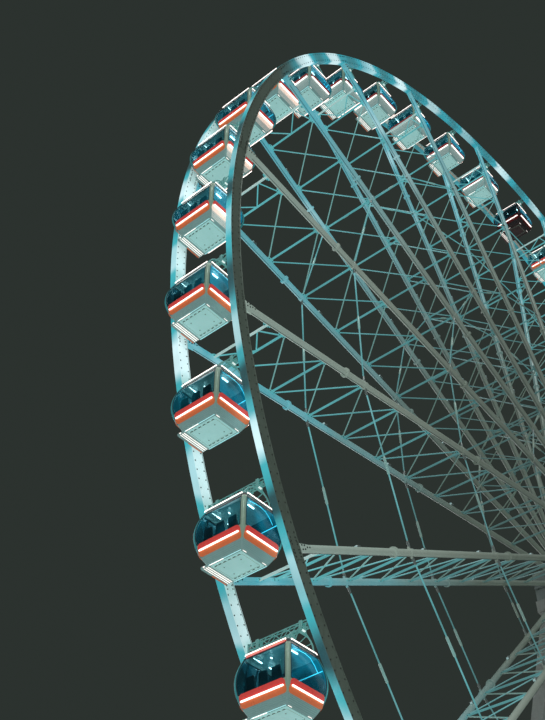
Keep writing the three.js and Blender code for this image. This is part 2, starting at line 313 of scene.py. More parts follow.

# Finishes. Wash is the strength of the light thrown on a steel part, with the share of the rim radius
# where it begins. Base glow, rim glow and glow are painted light too: even emission on parts that are no lamps.
# A look that doesn't name a value gets the usual one.
usualLook = {
    "patch": 1.6, "grain": 60.0, "wear": 0.55, "smoothest": 0.32, "roughest": 0.62, "bump": 0.12,
    "bumpDepth": 0.01, "metal": 0.1, "patchShare": 0.0, "nearShare": 1.0, "lowShare": 1.0,
    "sideStart": -100.0, "sideEnd": -99.0, "contrast": 0.72, "baseGlow": (0.0, 0.0, 0.0),
}
shellCoat = {"patch": 4.0, "grain": 160.0}
coralCoat = {"patch": 6.0, "grain": 200.0, "smoothest": 0.2, "roughest": 0.35}
paintLooks = {
    "rimLit": {"paint": (0.13, 0.23, 0.24), "worn": (0.06, 0.12, 0.13), "wash": 1.0, "begins": 0.6, "contrast": 0.08,
               "washShade": (0.03, 0.40, 0.46), "patchShare": 1.0},
    "rimBright": {"paint": (0.30, 0.40, 0.40), "worn": (0.20, 0.27, 0.26), "wash": 1.0, "begins": 0.6,
                  "washShade": (0.34, 0.60, 0.60), "patchShare": 1.0, "contrast": 0.30, "sideStart": -3.0,
                  "sideEnd": -9.0, "baseGlow": (0.15, 0.125, 0.095)},
    "rimWeb": {"paint": (0.155, 0.200, 0.175), "worn": (0.08, 0.11, 0.09), "wear": 0.8, "wash": 1.0, "begins": 0.6,
               "washShade": (0.015, 0.34, 0.43), "patchShare": 0.95, "sideStart": -12.6, "sideEnd": -11.6,
               "contrast": 0.55, "lowShare": 0.0, "baseGlow": (0.012, 0.017, 0.012)},
    "spokeTube": {"paint": (0.30, 0.36, 0.32), "worn": (0.19, 0.23, 0.20), "wash": 1.0, "begins": 0.35,
                  "washShade": (0.008, 0.30, 0.39), "patchShare": 0.45, "nearShare": 0.10, "contrast": 0.6,
                  "baseGlow": (0.026, 0.034, 0.026), "rimGlow": (0.17, 0.20, 0.165)},
    "spokeLattice": {"paint": (0.20, 0.29, 0.29), "worn": (0.12, 0.19, 0.19), "wash": 1.0, "begins": 0.25,
                     "washShade": (0.06, 0.37, 0.40), "patchShare": 0.1, "baseGlow": (0.013, 0.046, 0.044)},
    "spokeBrace": {"paint": (0.32, 0.40, 0.35), "worn": (0.20, 0.24, 0.21), "wash": 0.9, "begins": 0.30,
                   "washShade": (0.12, 0.36, 0.36), "baseGlow": (0.03, 0.05, 0.04)},
    "endStrut": {"paint": (0.66, 0.80, 0.78), "worn": (0.5, 0.66, 0.64), "wear": 0.3, "glow": 0.42,
                 "glowShade": (0.50, 0.80, 0.78)},
    "clampSteel": {"paint": (0.26, 0.32, 0.31), "worn": (0.15, 0.19, 0.19), "metal": 0.3, "grain": 120.0},
    "hubPaint": {"paint": (0.34, 0.40, 0.39), "worn": (0.18, 0.22, 0.21), "patch": 3.0},
    "standPaint": {"paint": (0.50, 0.54, 0.52), "worn": (0.30, 0.31, 0.28), "patch": 1.1, "wear": 0.7},
    "deckTread": {"paint": (0.26, 0.28, 0.28), "worn": (0.13, 0.13, 0.12), "metal": 0.5, "grain": 90.0,
                  "wear": 0.8, "bump": 0.4},
    "cabinShell": {"paint": (0.27, 0.39, 0.38), "worn": (0.18, 0.28, 0.27), **shellCoat,
                   "smoothest": 0.22, "roughest": 0.42, "glow": 0.42, "glowShade": (0.16, 0.31, 0.30)},
    "cabinPost": {"paint": (0.25, 0.35, 0.29), "worn": (0.17, 0.24, 0.20), **shellCoat,
                  "smoothest": 0.25, "roughest": 0.45, "glow": 0.48, "glowShade": (0.18, 0.28, 0.21)},
    "postEdge": {"paint": (0.10, 0.30, 0.31), "worn": (0.06, 0.20, 0.21), **shellCoat,
                 "smoothest": 0.2, "roughest": 0.4, "glow": 0.30, "glowShade": (0.02, 0.34, 0.38)},
    "cabinHead": {"paint": (0.070, 0.072, 0.090), "worn": (0.04, 0.04, 0.05), **shellCoat,
                  "smoothest": 0.2, "roughest": 0.38},
    "ventSlot": {"paint": (0.012, 0.016, 0.016), "worn": (0.02, 0.02, 0.02), "grain": 200.0},
    "bandLine": {"paint": (0.40, 0.60, 0.58), "worn": (0.28, 0.42, 0.40), "grain": 160.0, "glow": 0.15,
                 "glowShade": (0.25, 0.50, 0.48)},
    "cabinUnder": {"paint": (0.47, 0.73, 0.71), "worn": (0.36, 0.58, 0.56), "patch": 5.0, "grain": 220.0,
                   "wear": 0.6, "glow": 0.62, "glowShade": (0.28, 0.53, 0.51)},
    "shellFloodlit": {"paint": (0.72, 0.72, 0.68), "worn": (0.55, 0.60, 0.56), "patch": 5.0, "grain": 220.0,
                    "wear": 0.4, "glow": 0.34, "glowShade": (0.75, 0.72, 0.66)},
    "darkShell": {"paint": (0.045, 0.025, 0.028), "worn": (0.02, 0.012, 0.014), **shellCoat,
                  "smoothest": 0.18, "roughest": 0.4},
    "darkUnder": {"paint": (0.10, 0.045, 0.045), "worn": (0.05, 0.025, 0.025), "patch": 5.0, "grain": 220.0},
    "hangerSteel": {"paint": (0.26, 0.42, 0.40), "worn": (0.14, 0.24, 0.23), "patch": 4.0, "grain": 140.0,
                    "glow": 0.30, "glowShade": (0.06, 0.36, 0.34)},
    "bracketLight": {"paint": (0.80, 0.88, 0.86), "worn": (0.6, 0.7, 0.7), "wear": 0.2, "glow": 0.7,
                     "glowShade": (0.85, 0.95, 0.92)},
    "coralUpper": {"paint": (0.66, 0.060, 0.050), "worn": (0.50, 0.04, 0.04), **coralCoat,
                   "glow": 0.42, "glowShade": (0.68, 0.080, 0.072)},
    "coralLower": {"paint": (0.62, 0.16, 0.055), "worn": (0.46, 0.11, 0.04), **coralCoat,
                   "glow": 0.42, "glowShade": (0.66, 0.155, 0.06)},
    "coralFloodlit": {"paint": (0.86, 0.66, 0.56), "worn": (0.78, 0.55, 0.45), "patch": 6.0, "grain": 200.0,
                    "glow": 0.7, "glowShade": (1.0, 0.74, 0.62)},
    "floodlitTeal": {"paint": (0.38, 0.48, 0.46), "worn": (0.28, 0.38, 0.36), "patch": 6.0, "grain": 200.0,
                  "glow": 0.40, "glowShade": (0.36, 0.48, 0.46)},
    "coralUpperShaded": {"paint": (0.40, 0.07, 0.07), "worn": (0.22, 0.04, 0.04), **coralCoat,
                 "glow": 0.2, "glowShade": (0.40, 0.08, 0.08)},
    "coralDark": {"paint": (0.16, 0.012, 0.014), "worn": (0.09, 0.008, 0.010), **coralCoat},
    "seatShell": {"paint": (0.03, 0.07, 0.09), "worn": (0.015, 0.035, 0.05), "patch": 6.0, "grain": 260.0,
                  "smoothest": 0.3, "roughest": 0.5},
    "boltHead": {"paint": (0.085, 0.105, 0.10), "worn": (0.10, 0.075, 0.06), "metal": 0.6, "grain": 300.0,
                 "wear": 0.7},
    "cableSheath": {"paint": (0.13, 0.17, 0.17), "worn": (0.08, 0.10, 0.10), "grain": 150.0},
}
# lamps, and the glowing rods that are painted highlights: the underside edges, and the rail and bow inside
lampLooks = {
    "tubeLight": {"shade": (1.0, 0.88, 0.82), "strength": 2.4},
    "stepLight": {"shade": (1.0, 0.90, 0.83), "strength": 1.25},
    "roomLight": {"shade": (1.0, 0.97, 0.93), "strength": 10.0},
    "spokeLight": {"shade": (0.35, 0.95, 1.0), "strength": 0.2},
    "edgeLight": {"shade": (0.30, 0.90, 0.95), "strength": 0.7},
    "railLight": {"shade": (0.10, 0.80, 0.95), "strength": 2.6},
}
glassLooks = {
    "cabinGlass": {"shade": (0.23, 0.48, 0.56), "roughness": 0.02, "transmission": 0.985, "ior": 1.3,
                   "glow": (0.0, 0.020, 0.028)},
    "cabinGlassLit": {"shade": (0.22, 0.50, 0.63), "roughness": 0.02, "transmission": 0.985, "ior": 1.3,
                      "glow": (0.0, 0.075, 0.115)},
}


def paintMaterial(name, look):
    look = {**usualLook, **look}
    material, tree, shader = newMaterial(name)
    surface = tree.nodes.new("ShaderNodeGroup")
    surface.node_tree = groups["paintWear"]
    setInputs(surface, {
        "Paint": (*look["paint"], 1), "Worn": (*look["worn"], 1), "Patch Scale": look["patch"],
        "Grain Scale": look["grain"], "Wear": look["wear"], "Smoothest": look["smoothest"],
        "Roughest": look["roughest"]})
    bump = tree.nodes.new("ShaderNodeBump")
    setInputs(bump, {"Strength": look["bump"], "Distance": look["bumpDepth"]})
    wire(tree, (surface, "Color", shader, "Base Color"), (surface, "Roughness", shader, "Roughness"),
         (surface, "Height", bump, "Height"), (bump, "Normal", shader, "Normal"))
    setInputs(shader, {"Metallic": look["metal"]})
    if "wash" in look:
        wash = tree.nodes.new("ShaderNodeGroup")
        wash.node_tree = groups["lightWash"]
        setInputs(wash, {
            "Hub Height": hubCentre.z, "Rim Radius": pivotRadius, "Patches": len(cabinNames),
            "Begins": look["begins"], "Patch Share": look["patchShare"], "Near Share": look["nearShare"],
            "Low Share": look["lowShare"], "Side Start": look["sideStart"], "Side End": look["sideEnd"],
            "Contrast": look["contrast"], "Wash": (*look["washShade"], 1), "Base Glow": (*look["baseGlow"], 1),
            "Rim Glow": (*look.get("rimGlow", look["baseGlow"]), 1)})
        wire(tree, (wash, "Color", shader, "Emission Color"))
        setInputs(shader, {"Emission Strength": look["wash"]})
    # glow is painted light: an even emission in the glow shade, on a part that is no lamp
    if "glow" in look:
        setInputs(shader, {"Emission Color": (*look["glowShade"], 1), "Emission Strength": look["glow"]})
    return material


def lampMaterial(name, look):
    # a frosted tube, a little uneven along its length
    material, tree, shader = newMaterial(name)
    even = rangeNode(tree, noiseNode(tree, objectPlace(tree), 14.0, 2.0), 0.3, 0.7, 0.0, 1.0)
    dimmer = tuple(0.86 * part for part in look["shade"])
    tree.links.new(mixColours(tree, even, dimmer, look["shade"]), shader.inputs["Emission Color"])
    setInputs(shader, {"Emission Strength": look["strength"], "Base Color": (0.8, 0.8, 0.8, 1), "Roughness": 0.4})
    return material


def glassMaterial(name, look):
    material, tree, shader = newMaterial(name)
    place = objectPlace(tree)
    film = rangeNode(tree, noiseNode(tree, place, 3.0, 4.0), 0.35, 0.7, 0.0, 1.0)
    deeper = tuple(0.7 * part for part in look["shade"])
    # a painted reflection: a blue-green glow that comes and goes over the panes
    paintedSheen = rangeNode(tree, noiseNode(tree, place, 1.7, 1.5), 0.40, 0.60, 0.12, 1.0)
    made = {
        "Base Color": mixColours(tree, film, look["shade"], deeper),
        "Roughness": rangeNode(tree, film, 0.0, 1.0, look["roughness"], 4 * look["roughness"]),
        "Emission Color": mixColours(tree, paintedSheen, (0.0, 0.0, 0.0), look["glow"]),
    }
    for label, value in made.items():
        tree.links.new(value, shader.inputs[label])
    setInputs(shader, {"Emission Strength": 1.0, "Transmission Weight": look["transmission"], "IOR": look["ior"]})
    return material


finishes = {name: paintMaterial(name, look) for name, look in paintLooks.items()}
finishes.update({name: lampMaterial(name, look) for name, look in lampLooks.items()})
finishes.update({name: glassMaterial(name, look) for name, look in glassLooks.items()})
print("finishes made:", len(finishes))

# Shapes: each is its corners, its faces and the name of its finish
sharpAngle = 38    # degrees: edges with more than this between their faces stay sharp


def hullShape(points, finish):
    shell = bmesh.new()
    for point in points:
        shell.verts.new(point)
    bmesh.ops.convex_hull(shell, input=shell.verts)
    bmesh.ops.recalc_face_normals(shell, faces=shell.faces)
    shell.verts.index_update()
    corners = [Vector(vert.co) for vert in shell.verts]
    faces = [tuple(vert.index for vert in face.verts) for face in shell.faces]
    shell.free()
    return corners, faces, finish


def blockShape(size, middle, finish, cut):
    # a block with its edges taken off
    halves = [side / 2 for side in size]
    points = []
    for signs in [(x, y, z) for x in (-1, 1) for y in (-1, 1) for z in (-1, 1)]:
        for whole in range(3):
            points.append(tuple(middle[axis] + signs[axis] * (halves[axis] - (0 if axis == whole else cut))
                                for axis in range(3)))
    return hullShape(points, finish)


def plateShape(outline, normal, thickness, finish):
    # a flat convex plate: its outline, and the way it is thick
    shift = Vector(normal).normalized() * (thickness / 2)
    return hullShape([Vector(point) + sign * shift for point in outline for sign in (-1, 1)], finish)


def loopsShape(loops, finish, caps=True):
    # closed loops of equal length, one above the other, counter-clockwise seen from the last one
    count = len(loops[0])
    corners = [Vector(point) for loop in loops for point in loop]
    faces = []
    for level in range(len(loops) - 1):
        for corner in range(count):
            low = level * count
            following = (corner + 1) % count
            faces.append((low + corner, low + following, low + count + following, low + count + corner))
    if caps:
        faces.append(tuple(reversed(range(count))))
        faces.append(tuple(range(len(corners) - count, len(corners))))
    return corners, faces, finish


def roundLoop(middle, first, second, radius, sides, startTurn=0.5):
    turns = [2 * math.pi * (side + startTurn) / sides for side in range(sides)]
    return [middle + radius * (math.cos(turn) * first + math.sin(turn) * second) for turn in turns]


def sideways(along):
    helper = Vector((0, 0, 1)) if abs(along.z) < 0.9 else Vector((1, 0, 0))
    first = along.cross(helper).normalized()
    return first, along.cross(first).normalized()


def rodShape(path, radius, sides, finish):
    # a round rod through the points of a path
    points = [Vector(point) for point in path]
    loops = []
    first = sideways((points[1] - points[0]).normalized())[0]
    for index, point in enumerate(points):
        before = points[max(index - 1, 0)]
        after = points[min(index + 1, len(points) - 1)]
        along = (after - before).normalized()
        first = (first - along * first.dot(along)).normalized()
        loops.append(roundLoop(point, first, along.cross(first), radius, sides))
    return loopsShape(loops, finish)


def capsuleShape(start, end, radius, sides, finish):
    # a straight tube with rounded ends
    start, end = Vector(start), Vector(end)
    along = (end - start).normalized()
    first, second = sideways(along)
    loops = []
    for middle, turns in ((start + along * radius, (80, 55, 25, 0)), (end - along * radius, (0, -25, -55, -80))):
        for turn in turns:
            lean = math.radians(turn)
            loops.append(roundLoop(middle - along * radius * math.sin(lean), first, second,
                                   radius * math.cos(lean), sides))
    return loopsShape(loops, finish)


def latheShape(profile, middle, axis, sides, finish, startTurn=0.5):
    # a turned body: points of radius and place along the axis, from one end to the other
    along = Vector(axis).normalized()
    first, second = sideways(along)
    return loopsShape([roundLoop(Vector(middle) + along * place, first, second, max(radius, 1e-4), sides, startTurn)
                       for radius, place in profile], finish)


# Bolt heads: radius and height of the flats, then radius and height of the crown
boltHeads = {
    "splice": (0.011, 0.007, 0.006, 0.009),
    "rimEnd": (0.013, 0.009, 0.007, 0.012),
    "hubEnd": (0.014, 0.011, 0.007, 0.014),
    "gusset": (0.010, 0.008, 0.005, 0.011),
    "flange": (0.020, 0.016, 0.010, 0.022),
    "hanger": (0.009, 0.007, 0.005, 0.010),
    "stand": (0.016, 0.013, 0.008, 0.016),
}


def boltShape(kind, place, way):
    radius, height, crownRadius, crownHeight = boltHeads[kind]
    return latheShape([(radius, 0.0), (radius, height), (crownRadius, crownHeight)], place, way, 6, "boltHead")


def movedShape(shape, matrix):
    corners, faces, finish = shape
    return [matrix @ Vector(corner) for corner in corners], faces, finish


def meshFrom(name, shapes):
    corners, faces, marks, used = [], [], [], []
    for shapeCorners, shapeFaces, finish in shapes:
        if finish not in used:
            used.append(finish)
        start = len(corners)
        corners.extend(tuple(corner) for corner in shapeCorners)
        faces.extend(tuple(start + corner for corner in face) for face in shapeFaces)
        marks.extend([used.index(finish)] * len(shapeFaces))
    mesh = bpy.data.meshes.new(name)
    mesh.from_pydata(corners, [], faces)
    for finish in used:
        mesh.materials.append(finishes[finish])
    mesh.polygons.foreach_set("material_index", marks)
    return smoothMesh(mesh)


def smoothMesh(mesh):
    mesh.shade_smooth()
    mesh.set_sharp_from_angle(angle=math.radians(sharpAngle))
    mesh.update()
    return mesh


def joinMeshes(meshes):
    made = [newObject("part", mesh) for mesh in meshes]
    if len(made) > 1:
        with bpy.context.temp_override(active_object=made[0], selected_editable_objects=made):
            bpy.ops.object.join()
    mesh = made[0].data
    bpy.data.objects.remove(made[0])
    return smoothMesh(mesh)


def addPiece(name, mesh, body, slot, *nodes):
    piece = newObject(name, mesh)
    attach(piece, body)
    if nodes:
        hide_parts(*nodes)


# Geometry Nodes trees


def geometryTree(name, sockets):
    # sockets are kinds and starting values by name; an object socket starts empty
    tree = bpy.data.node_groups.new(name, "GeometryNodeTree")
    tree.interface.new_socket("Geometry", in_out="INPUT", socket_type="NodeSocketGeometry")
    for label, (kind, value) in sockets.items():
        socket = tree.interface.new_socket(label, in_out="INPUT", socket_type=kind)
        if value is not None:
            socket.default_value = value
    tree.interface.new_socket("Material", in_out="INPUT", socket_type="NodeSocketMaterial")
    tree.interface.new_socket("Geometry", in_out="OUTPUT", socket_type="NodeSocketGeometry")
    return tree, tree.nodes.new("NodeGroupInput"), tree.nodes.new("NodeGroupOutput")


def closeTree(tree, made, start, end):
    realize = tree.nodes.new("GeometryNodeRealizeInstances")
    paint = tree.nodes.new("GeometryNodeSetMaterial")
    tree.links.new(made, realize.inputs["Geometry"])
    wire(tree, (realize, "Geometry", paint, "Geometry"), (start, "Material", paint, "Material"),
         (paint, "Geometry", end, "Geometry"))
    return tree


def turnedCopies(tree, geometry, start):
    # the same geometry again and again, each one turned a step further round the axle
    line = tree.nodes.new("GeometryNodeMeshLine")
    setInputs(line, {"Offset": (0, 0, 0)})
    index = tree.nodes.new("GeometryNodeInputIndex")
    turn = mathNode(tree, "MULTIPLY_ADD", index.outputs["Index"], start.outputs["Step"], start.outputs["First Turn"])
    euler = tree.nodes.new("ShaderNodeCombineXYZ")
    tree.links.new(product(tree, turn, -1.0), euler.inputs["Y"])
    spin = tree.nodes.new("FunctionNodeEulerToRotation")
    copies = tree.nodes.new("GeometryNodeInstanceOnPoints")
    tree.links.new(geometry, copies.inputs["Instance"])
    wire(tree, (start, "Count", line, "Count"), (start, "Centre", line, "Start Location"),
         (euler, "Vector", spin, "Euler"), (line, "Mesh", copies, "Points"), (spin, "Rotation", copies, "Rotation"))
    return copies.outputs["Instances"]


turnSockets = {"Count": ("NodeSocketInt", 1), "Step": ("NodeSocketFloat", 0.3),
               "First Turn": ("NodeSocketFloat", 0.0), "Centre": ("NodeSocketVector", (0, 0, 0))}


def barTree():
    # each edge of the base mesh becomes a round bar, and the lot is repeated round the axle
    tree, start, end = geometryTree("bars", {
        "Bar Radius": ("NodeSocketFloat", 0.02), "Bar Sides": ("NodeSocketInt", 8), **turnSockets})
    path = tree.nodes.new("GeometryNodeMeshToCurve")
    ring = tree.nodes.new("GeometryNodeCurvePrimitiveCircle")
    sweep = tree.nodes.new("GeometryNodeCurveToMesh")
    setInputs(sweep, {"Fill Caps": True})
    wire(tree, (start, "Geometry", path, "Mesh"), (start, "Bar Radius", ring, "Radius"),
         (start, "Bar Sides", ring, "Resolution"), (path, "Curve", sweep, "Curve"),
         (ring, "Curve", sweep, "Profile Curve"))
    return closeTree(tree, turnedCopies(tree, sweep.outputs["Mesh"], start), start, end)


def copyTree():
    # a modelled fitting, repeated round the axle
    tree, start, end = geometryTree("copies", turnSockets)
    return closeTree(tree, turnedCopies(tree, start.outputs["Geometry"], start), start, end)


def hoopTree():
    # a closed outline carried round a closed path
    tree, start, end = geometryTree("hoop", {"Outline": ("NodeSocketObject", None)})
    info = tree.nodes.new("GeometryNodeObjectInfo")
    path = tree.nodes.new("GeometryNodeMeshToCurve")
    outline = tree.nodes.new("GeometryNodeMeshToCurve")
    sweep = tree.nodes.new("GeometryNodeCurveToMesh")
    wire(tree, (start, "Geometry", path, "Mesh"), (start, "Outline", info, "Object"),
         (info, "Geometry", outline, "Mesh"), (path, "Curve", sweep, "Curve"),
         (outline, "Curve", sweep, "Profile Curve"))
    return closeTree(tree, sweep.outputs["Mesh"], start, end)


def studTree():
    # one fitting on each point of the base mesh, with its top the way the point's attribute "facing" says
    tree, start, end = geometryTree("studs", {"Fitting": ("NodeSocketObject", None)})
    info = tree.nodes.new("GeometryNodeObjectInfo")
    facing = tree.nodes.new("GeometryNodeInputNamedAttribute")
    facing.data_type = "FLOAT_VECTOR"
    setInputs(facing, {"Name": "facing"})
    aim = tree.nodes.new("FunctionNodeAlignRotationToVector")
    aim.axis = "Z"
    studs = tree.nodes.new("GeometryNodeInstanceOnPoints")
    wire(tree, (start, "Fitting", info, "Object"), (facing, "Attribute", aim, "Vector"),
         (start, "Geometry", studs, "Points"), (info, "Geometry", studs, "Instance"),
         (aim, "Rotation", studs, "Rotation"))
    return closeTree(tree, studs.outputs["Instances"], start, end)


trees = {"bars": barTree(), "copies": copyTree(), "hoop": hoopTree(), "studs": studTree()}


def runTree(base, treeName, values):
    tree = trees[treeName]
    modifier = base.modifiers.new(treeName, "NODES")
    modifier.node_group = tree
    for item in tree.interface.items_tree:
        if item.item_type == "SOCKET" and item.in_out == "INPUT" and item.name in values:
            modifier[item.identifier] = values[item.name]
    graph = bpy.context.evaluated_depsgraph_get()
    mesh = bpy.data.meshes.new_from_object(base.evaluated_get(graph), depsgraph=graph)
    bpy.data.objects.remove(base)
    return smoothMesh(mesh)


def roundValues(first, count, finish):
    return {"Count": count, "Step": bayTurn, "First Turn": first, "Centre": tuple(hubCentre),
            "Material": finishes[finish]}


def barsRound(edges, width, sides, finish, first, count):
    points = [tuple(point) for edge in edges for point in edge]
    mesh = bpy.data.meshes.new("edges")
    mesh.from_pydata(points, [(2 * edge, 2 * edge + 1) for edge in range(len(edges))], [])
    values = roundValues(first, count, finish)
    values.update({"Bar Radius": width / 2, "Bar Sides": sides})
    return runTree(newObject("edges", mesh), "bars", values)


def shapesRound(shapes, first, count):
    # one tree run for each finish, because a tree sets one material
    meshes = []
    for finish in sorted({shape[2] for shape in shapes}):
        mesh = meshFrom("fitting", [shape for shape in shapes if shape[2] == finish])
        meshes.append(runTree(newObject("fitting", mesh), "copies", roundValues(first, count, finish)))
    return meshes


def studsAt(places, shapes, finish):
    # places are pairs of point and facing
    mesh = bpy.data.meshes.new("points")
    mesh.from_pydata([tuple(point) for point, _ in places], [], [])
    facing = mesh.attributes.new("facing", "FLOAT_VECTOR", "POINT")
    facing.data.foreach_set("vector", [part for _, way in places for part in way])
    fitting = newObject("fitting", meshFrom("fitting", shapes))
    made = runTree(newObject("points", mesh), "studs", {"Fitting": fitting, "Material": finishes[finish]})
    bpy.data.objects.remove(fitting)
    if "facing" in made.attributes:
        made.attributes.remove(made.attributes["facing"])
    return made


def rivetShapes(head):
    # a low domed head, for rows of hundreds
    return [latheShape([(head / 2, 0.0), (0.44 * head, 0.22 * head), (0.2 * head, 0.36 * head)], (0, 0, 0),
                       (0, 0, 1), 6, "boltHead")]


# The rim: two box rings with a web between two flanges, splice plates, and rows of bolts
rim = {
    "depth": 0.234,
    "pathSteps": 252,
    "flange": 0.014,         # thickness of the inner and outer plates
    "webInset": 0.007,
    "cut": 0.0025,
    "boltHead": 0.026,
    "boltRowInset": 0.040,
    "boltsPerCabin": 14,
    "splice": (0.17, 0.006, 0.36),    # height, thickness and length
    "spliceRows": (-0.06, 0.06),
    "spliceBolts": (-0.14, -0.09, -0.04, 0.04, 0.09, 0.14),
}


def aroundHub(radius, turn, y):
    return hubCentre.x + radius * math.cos(turn), y, hubCentre.z + radius * math.sin(turn)


def closedLine(name, points):
    # a mesh of edges only, from each point to the next and back to the first
    mesh = bpy.data.meshes.new(name)
    count = len(points)
    mesh.from_pydata(points, [(n, (n + 1) % count) for n in range(count)], [])
    return newObject(name, mesh)


def rimOutline():
    # radius from the path, and place along the axle, counter-clockwise
    half, depth = rimWidth / 2, rim["depth"]
    flange, inset, cut = rim["flange"], rim["webInset"], rim["cut"]
    side = [(0.0, half - cut), (-cut, half), (-flange + cut, half), (-flange, half - cut), (-flange, half - inset)]
    upper = side + [(-depth - r, y) for r, y in reversed(side)]
    return upper + [(r, -y) for r, y in reversed(upper)]


def ringMesh(side):
    profile = closedLine("outline", [(r, y, 0) for r, y in rimOutline()])
    turns = [2 * math.pi * step / rim["pathSteps"] for step in range(rim["pathSteps"])]
    path = closedLine("path", [aroundHub(rimOuter, turn, side * rimMiddle) for turn in turns])
    made = runTree(path, "hoop", {"Outline": profile, "Material": finishes["rimLit"]})
    bpy.data.objects.remove(profile)
    made.materials.append(finishes["rimBright"])
    made.materials.append(finishes["rimWeb"])
    # the web that faces the cabins catches their light, and the outer web and inner flange don't everywhere
    middle = rimOuter - rim["depth"] / 2
    for face in made.polygons:
        arm = Vector((face.center.x - hubCentre.x, 0, face.center.z - hubCentre.z))
        lean = face.normal.dot(arm.normalized())
        if lean < 0.5 or arm.length < middle:
            towardsCabins = abs(lean) < 0.5 and face.center.y * side < rimMiddle
            face.material_index = 1 if towardsCabins else 2
    return made


def rimBolts(side):
    places = []
    count = rim["boltsPerCabin"] * len(cabinNames)
    for bolt in range(count):
        turn = 2 * math.pi * (bolt + 0.5) / count
        for row in (rim["boltRowInset"], rim["depth"] - rim["boltRowInset"]):
            for way in ways:
                y = side * rimMiddle + way * (rimWidth / 2 - rim["webInset"])
                places.append((aroundHub(rimOuter - row, turn, y), (0, way, 0)))
    return studsAt(places, rivetShapes(rim["boltHead"]), "boltHead")


def rimSplices(side):
    # a plate across each joint of the ring, on both webs, midway between cabins
    thick = rim["splice"][1]
    middle = rimOuter - rim["depth"] / 2
    shapes = []
    for way, finish in ((side, "rimWeb"), (-side, "rimBright")):
        y = side * rimMiddle + way * (rimWidth / 2 - rim["webInset"] + thick / 2)
        shapes.append(blockShape(rim["splice"], (middle, y, 0), finish, 0.002))
        shapes += [boltShape("splice", (middle + across, y + way * thick / 2, along), (0, way, 0))
                   for across in rim["spliceRows"] for along in rim["spliceBolts"]]
    return shapesRound(shapes, 0.0, bayCount)


def addRim():
    for side, word in ((-1, "near"), (1, "far")):
        ring = joinMeshes([ringMesh(side)] + rimSplices(side))
        addPiece(f"{word}RimRing", ring, "wheel", "rim_steel", f"{word}_ring")
        addPiece(f"{word}RimBolts", rimBolts(side), "wheel", "bolt_steel")
    print("rim made")


addRim()

# The spoke frames: two tubes with a lattice between them, in the frame's own place: X out from the hub,
# Y along the axle. Shares are of the pivot circle's radius.
spokes = {
    "framesPerSet": 7,
    "apexOffset": 0.741,
    "tube": 0.115,
    "strut": 0.040,
    "brace": 0.024,
    "braceShift": 0.06,
    "tie": 0.028,
    "cable": 0.010,
    "cableEnds": ((0.15, 0, 0.068), (-0.2, 0, 0.066)),
    "innerEnd": 0.9009,
    "outerGap": 0.0005,
    "outermostNode": 0.915,
    "nodeStep": 0.0775,
    "nodeCount": 10,
    "tiedNodes": (2, 5, 8),
    "endStrut": 0.943,
    "endStrutWidth": 0.046,
    "zigzag": 0.024,
    "zigzagParts": (0.50, 0.78),      # how far the zigzag's corners are along their struts
    "plateLength": 0.17,
    "plateReach": 0.048,
    "plateThickness": 0.012,
    "plateBolts": (-0.05, 0.0, 0.05),
    "collarLength": 0.10,
    "collarRadius": 0.068,
    "cheekBolts": ((0.05, -0.032), (0.05, 0.032), (0.11, -0.028), (0.11, 0.028), (0.17, 0.0), (0.23, 0.0)),
    "flanges": (0.49, 0.80),
    "lamps": (0.40, 0.57, 0.72, 0.87),
}
spokeShares = [spokes["outermostNode"] - node * spokes["nodeStep"] for node in range(spokes["nodeCount"])]


def onTube(share, side, shift=0.0):
    # a point on a tube's middle line, shifted towards the other tube
    y = spokes["apexOffset"] - (spokes["apexOffset"] - rimMiddle) * share - shift
    return Vector((share * pivotRadius, side * y, 0))


def tubeEnds():
    inner = spokes["innerEnd"] / pivotRadius
    outer = (rimOuter - rim["depth"] - spokes["outerGap"]) / pivotRadius
    return inner, outer


def spokeBars(first, count):
    inner, outer = tubeEnds()
    tube = spokes["tube"]
    reach = tube / 2 + spokes["plateReach"] * 0.55
    shift = spokes["braceShift"] / pivotRadius

    def strutAt(share):
        return onTube(share, -1, tube * 0.4), onTube(share, 1, tube * 0.4)

    tubes = [(onTube(inner, side), onTube(outer, side)) for side in ways]
    struts = [strutAt(share) for share in spokeShares]
    # three bars back and forth between the end strut and the outermost strut, from the far side
    pair = (spokeShares[0], spokes["endStrut"])
    corners = [Vector((share * pivotRadius, (1 - 2 * part) * onTube(share, 1).y, 0))
               for share, part in zip(pair, spokes["zigzagParts"])]
    corners = [onTube(pair[1], 1, reach)] + corners + [onTube(pair[0], -1, reach)]
    inward, outward = [], []
    for outerShare, innerShare in zip(spokeShares, spokeShares[1:]):
        inward.append((onTube(innerShare + shift, -1, reach), onTube(outerShare - shift, 1, reach)))
        outward.append((onTube(outerShare - shift, -1, reach), onTube(innerShare + shift, 1, reach)))
    atHub, atRim = (Vector(end) for end in spokes["cableEnds"])
    cables = [(onTube(inner, side) + atHub, onTube(outer, side) + atRim) for side in ways]
    turn = Matrix.Rotation(-bayTurn, 3, "Y")
    ties = [(onTube(spokeShares[node], side), turn @ onTube(spokeShares[node], side))
            for node in spokes["tiedNodes"] for side in ways]
    return [barsRound(edges, width, sides, finish, first, count) for edges, width, sides, finish in (
        (tubes, tube, 18, "spokeTube"),
        (struts, spokes["strut"], 10, "spokeLattice"),
        ([strutAt(spokes["endStrut"])], spokes["endStrutWidth"], 12, "endStrut"),
        (list(zip(corners, corners[1:])), spokes["zigzag"], 6, "spokeLattice"),
        (inward, spokes["brace"], 6, "spokeLattice"),
        (outward, spokes["brace"], 6, "spokeBrace"),
        (ties, spokes["tie"], 8, "spokeLattice"),
        (cables, spokes["cable"], 6, "cableSheath"))]


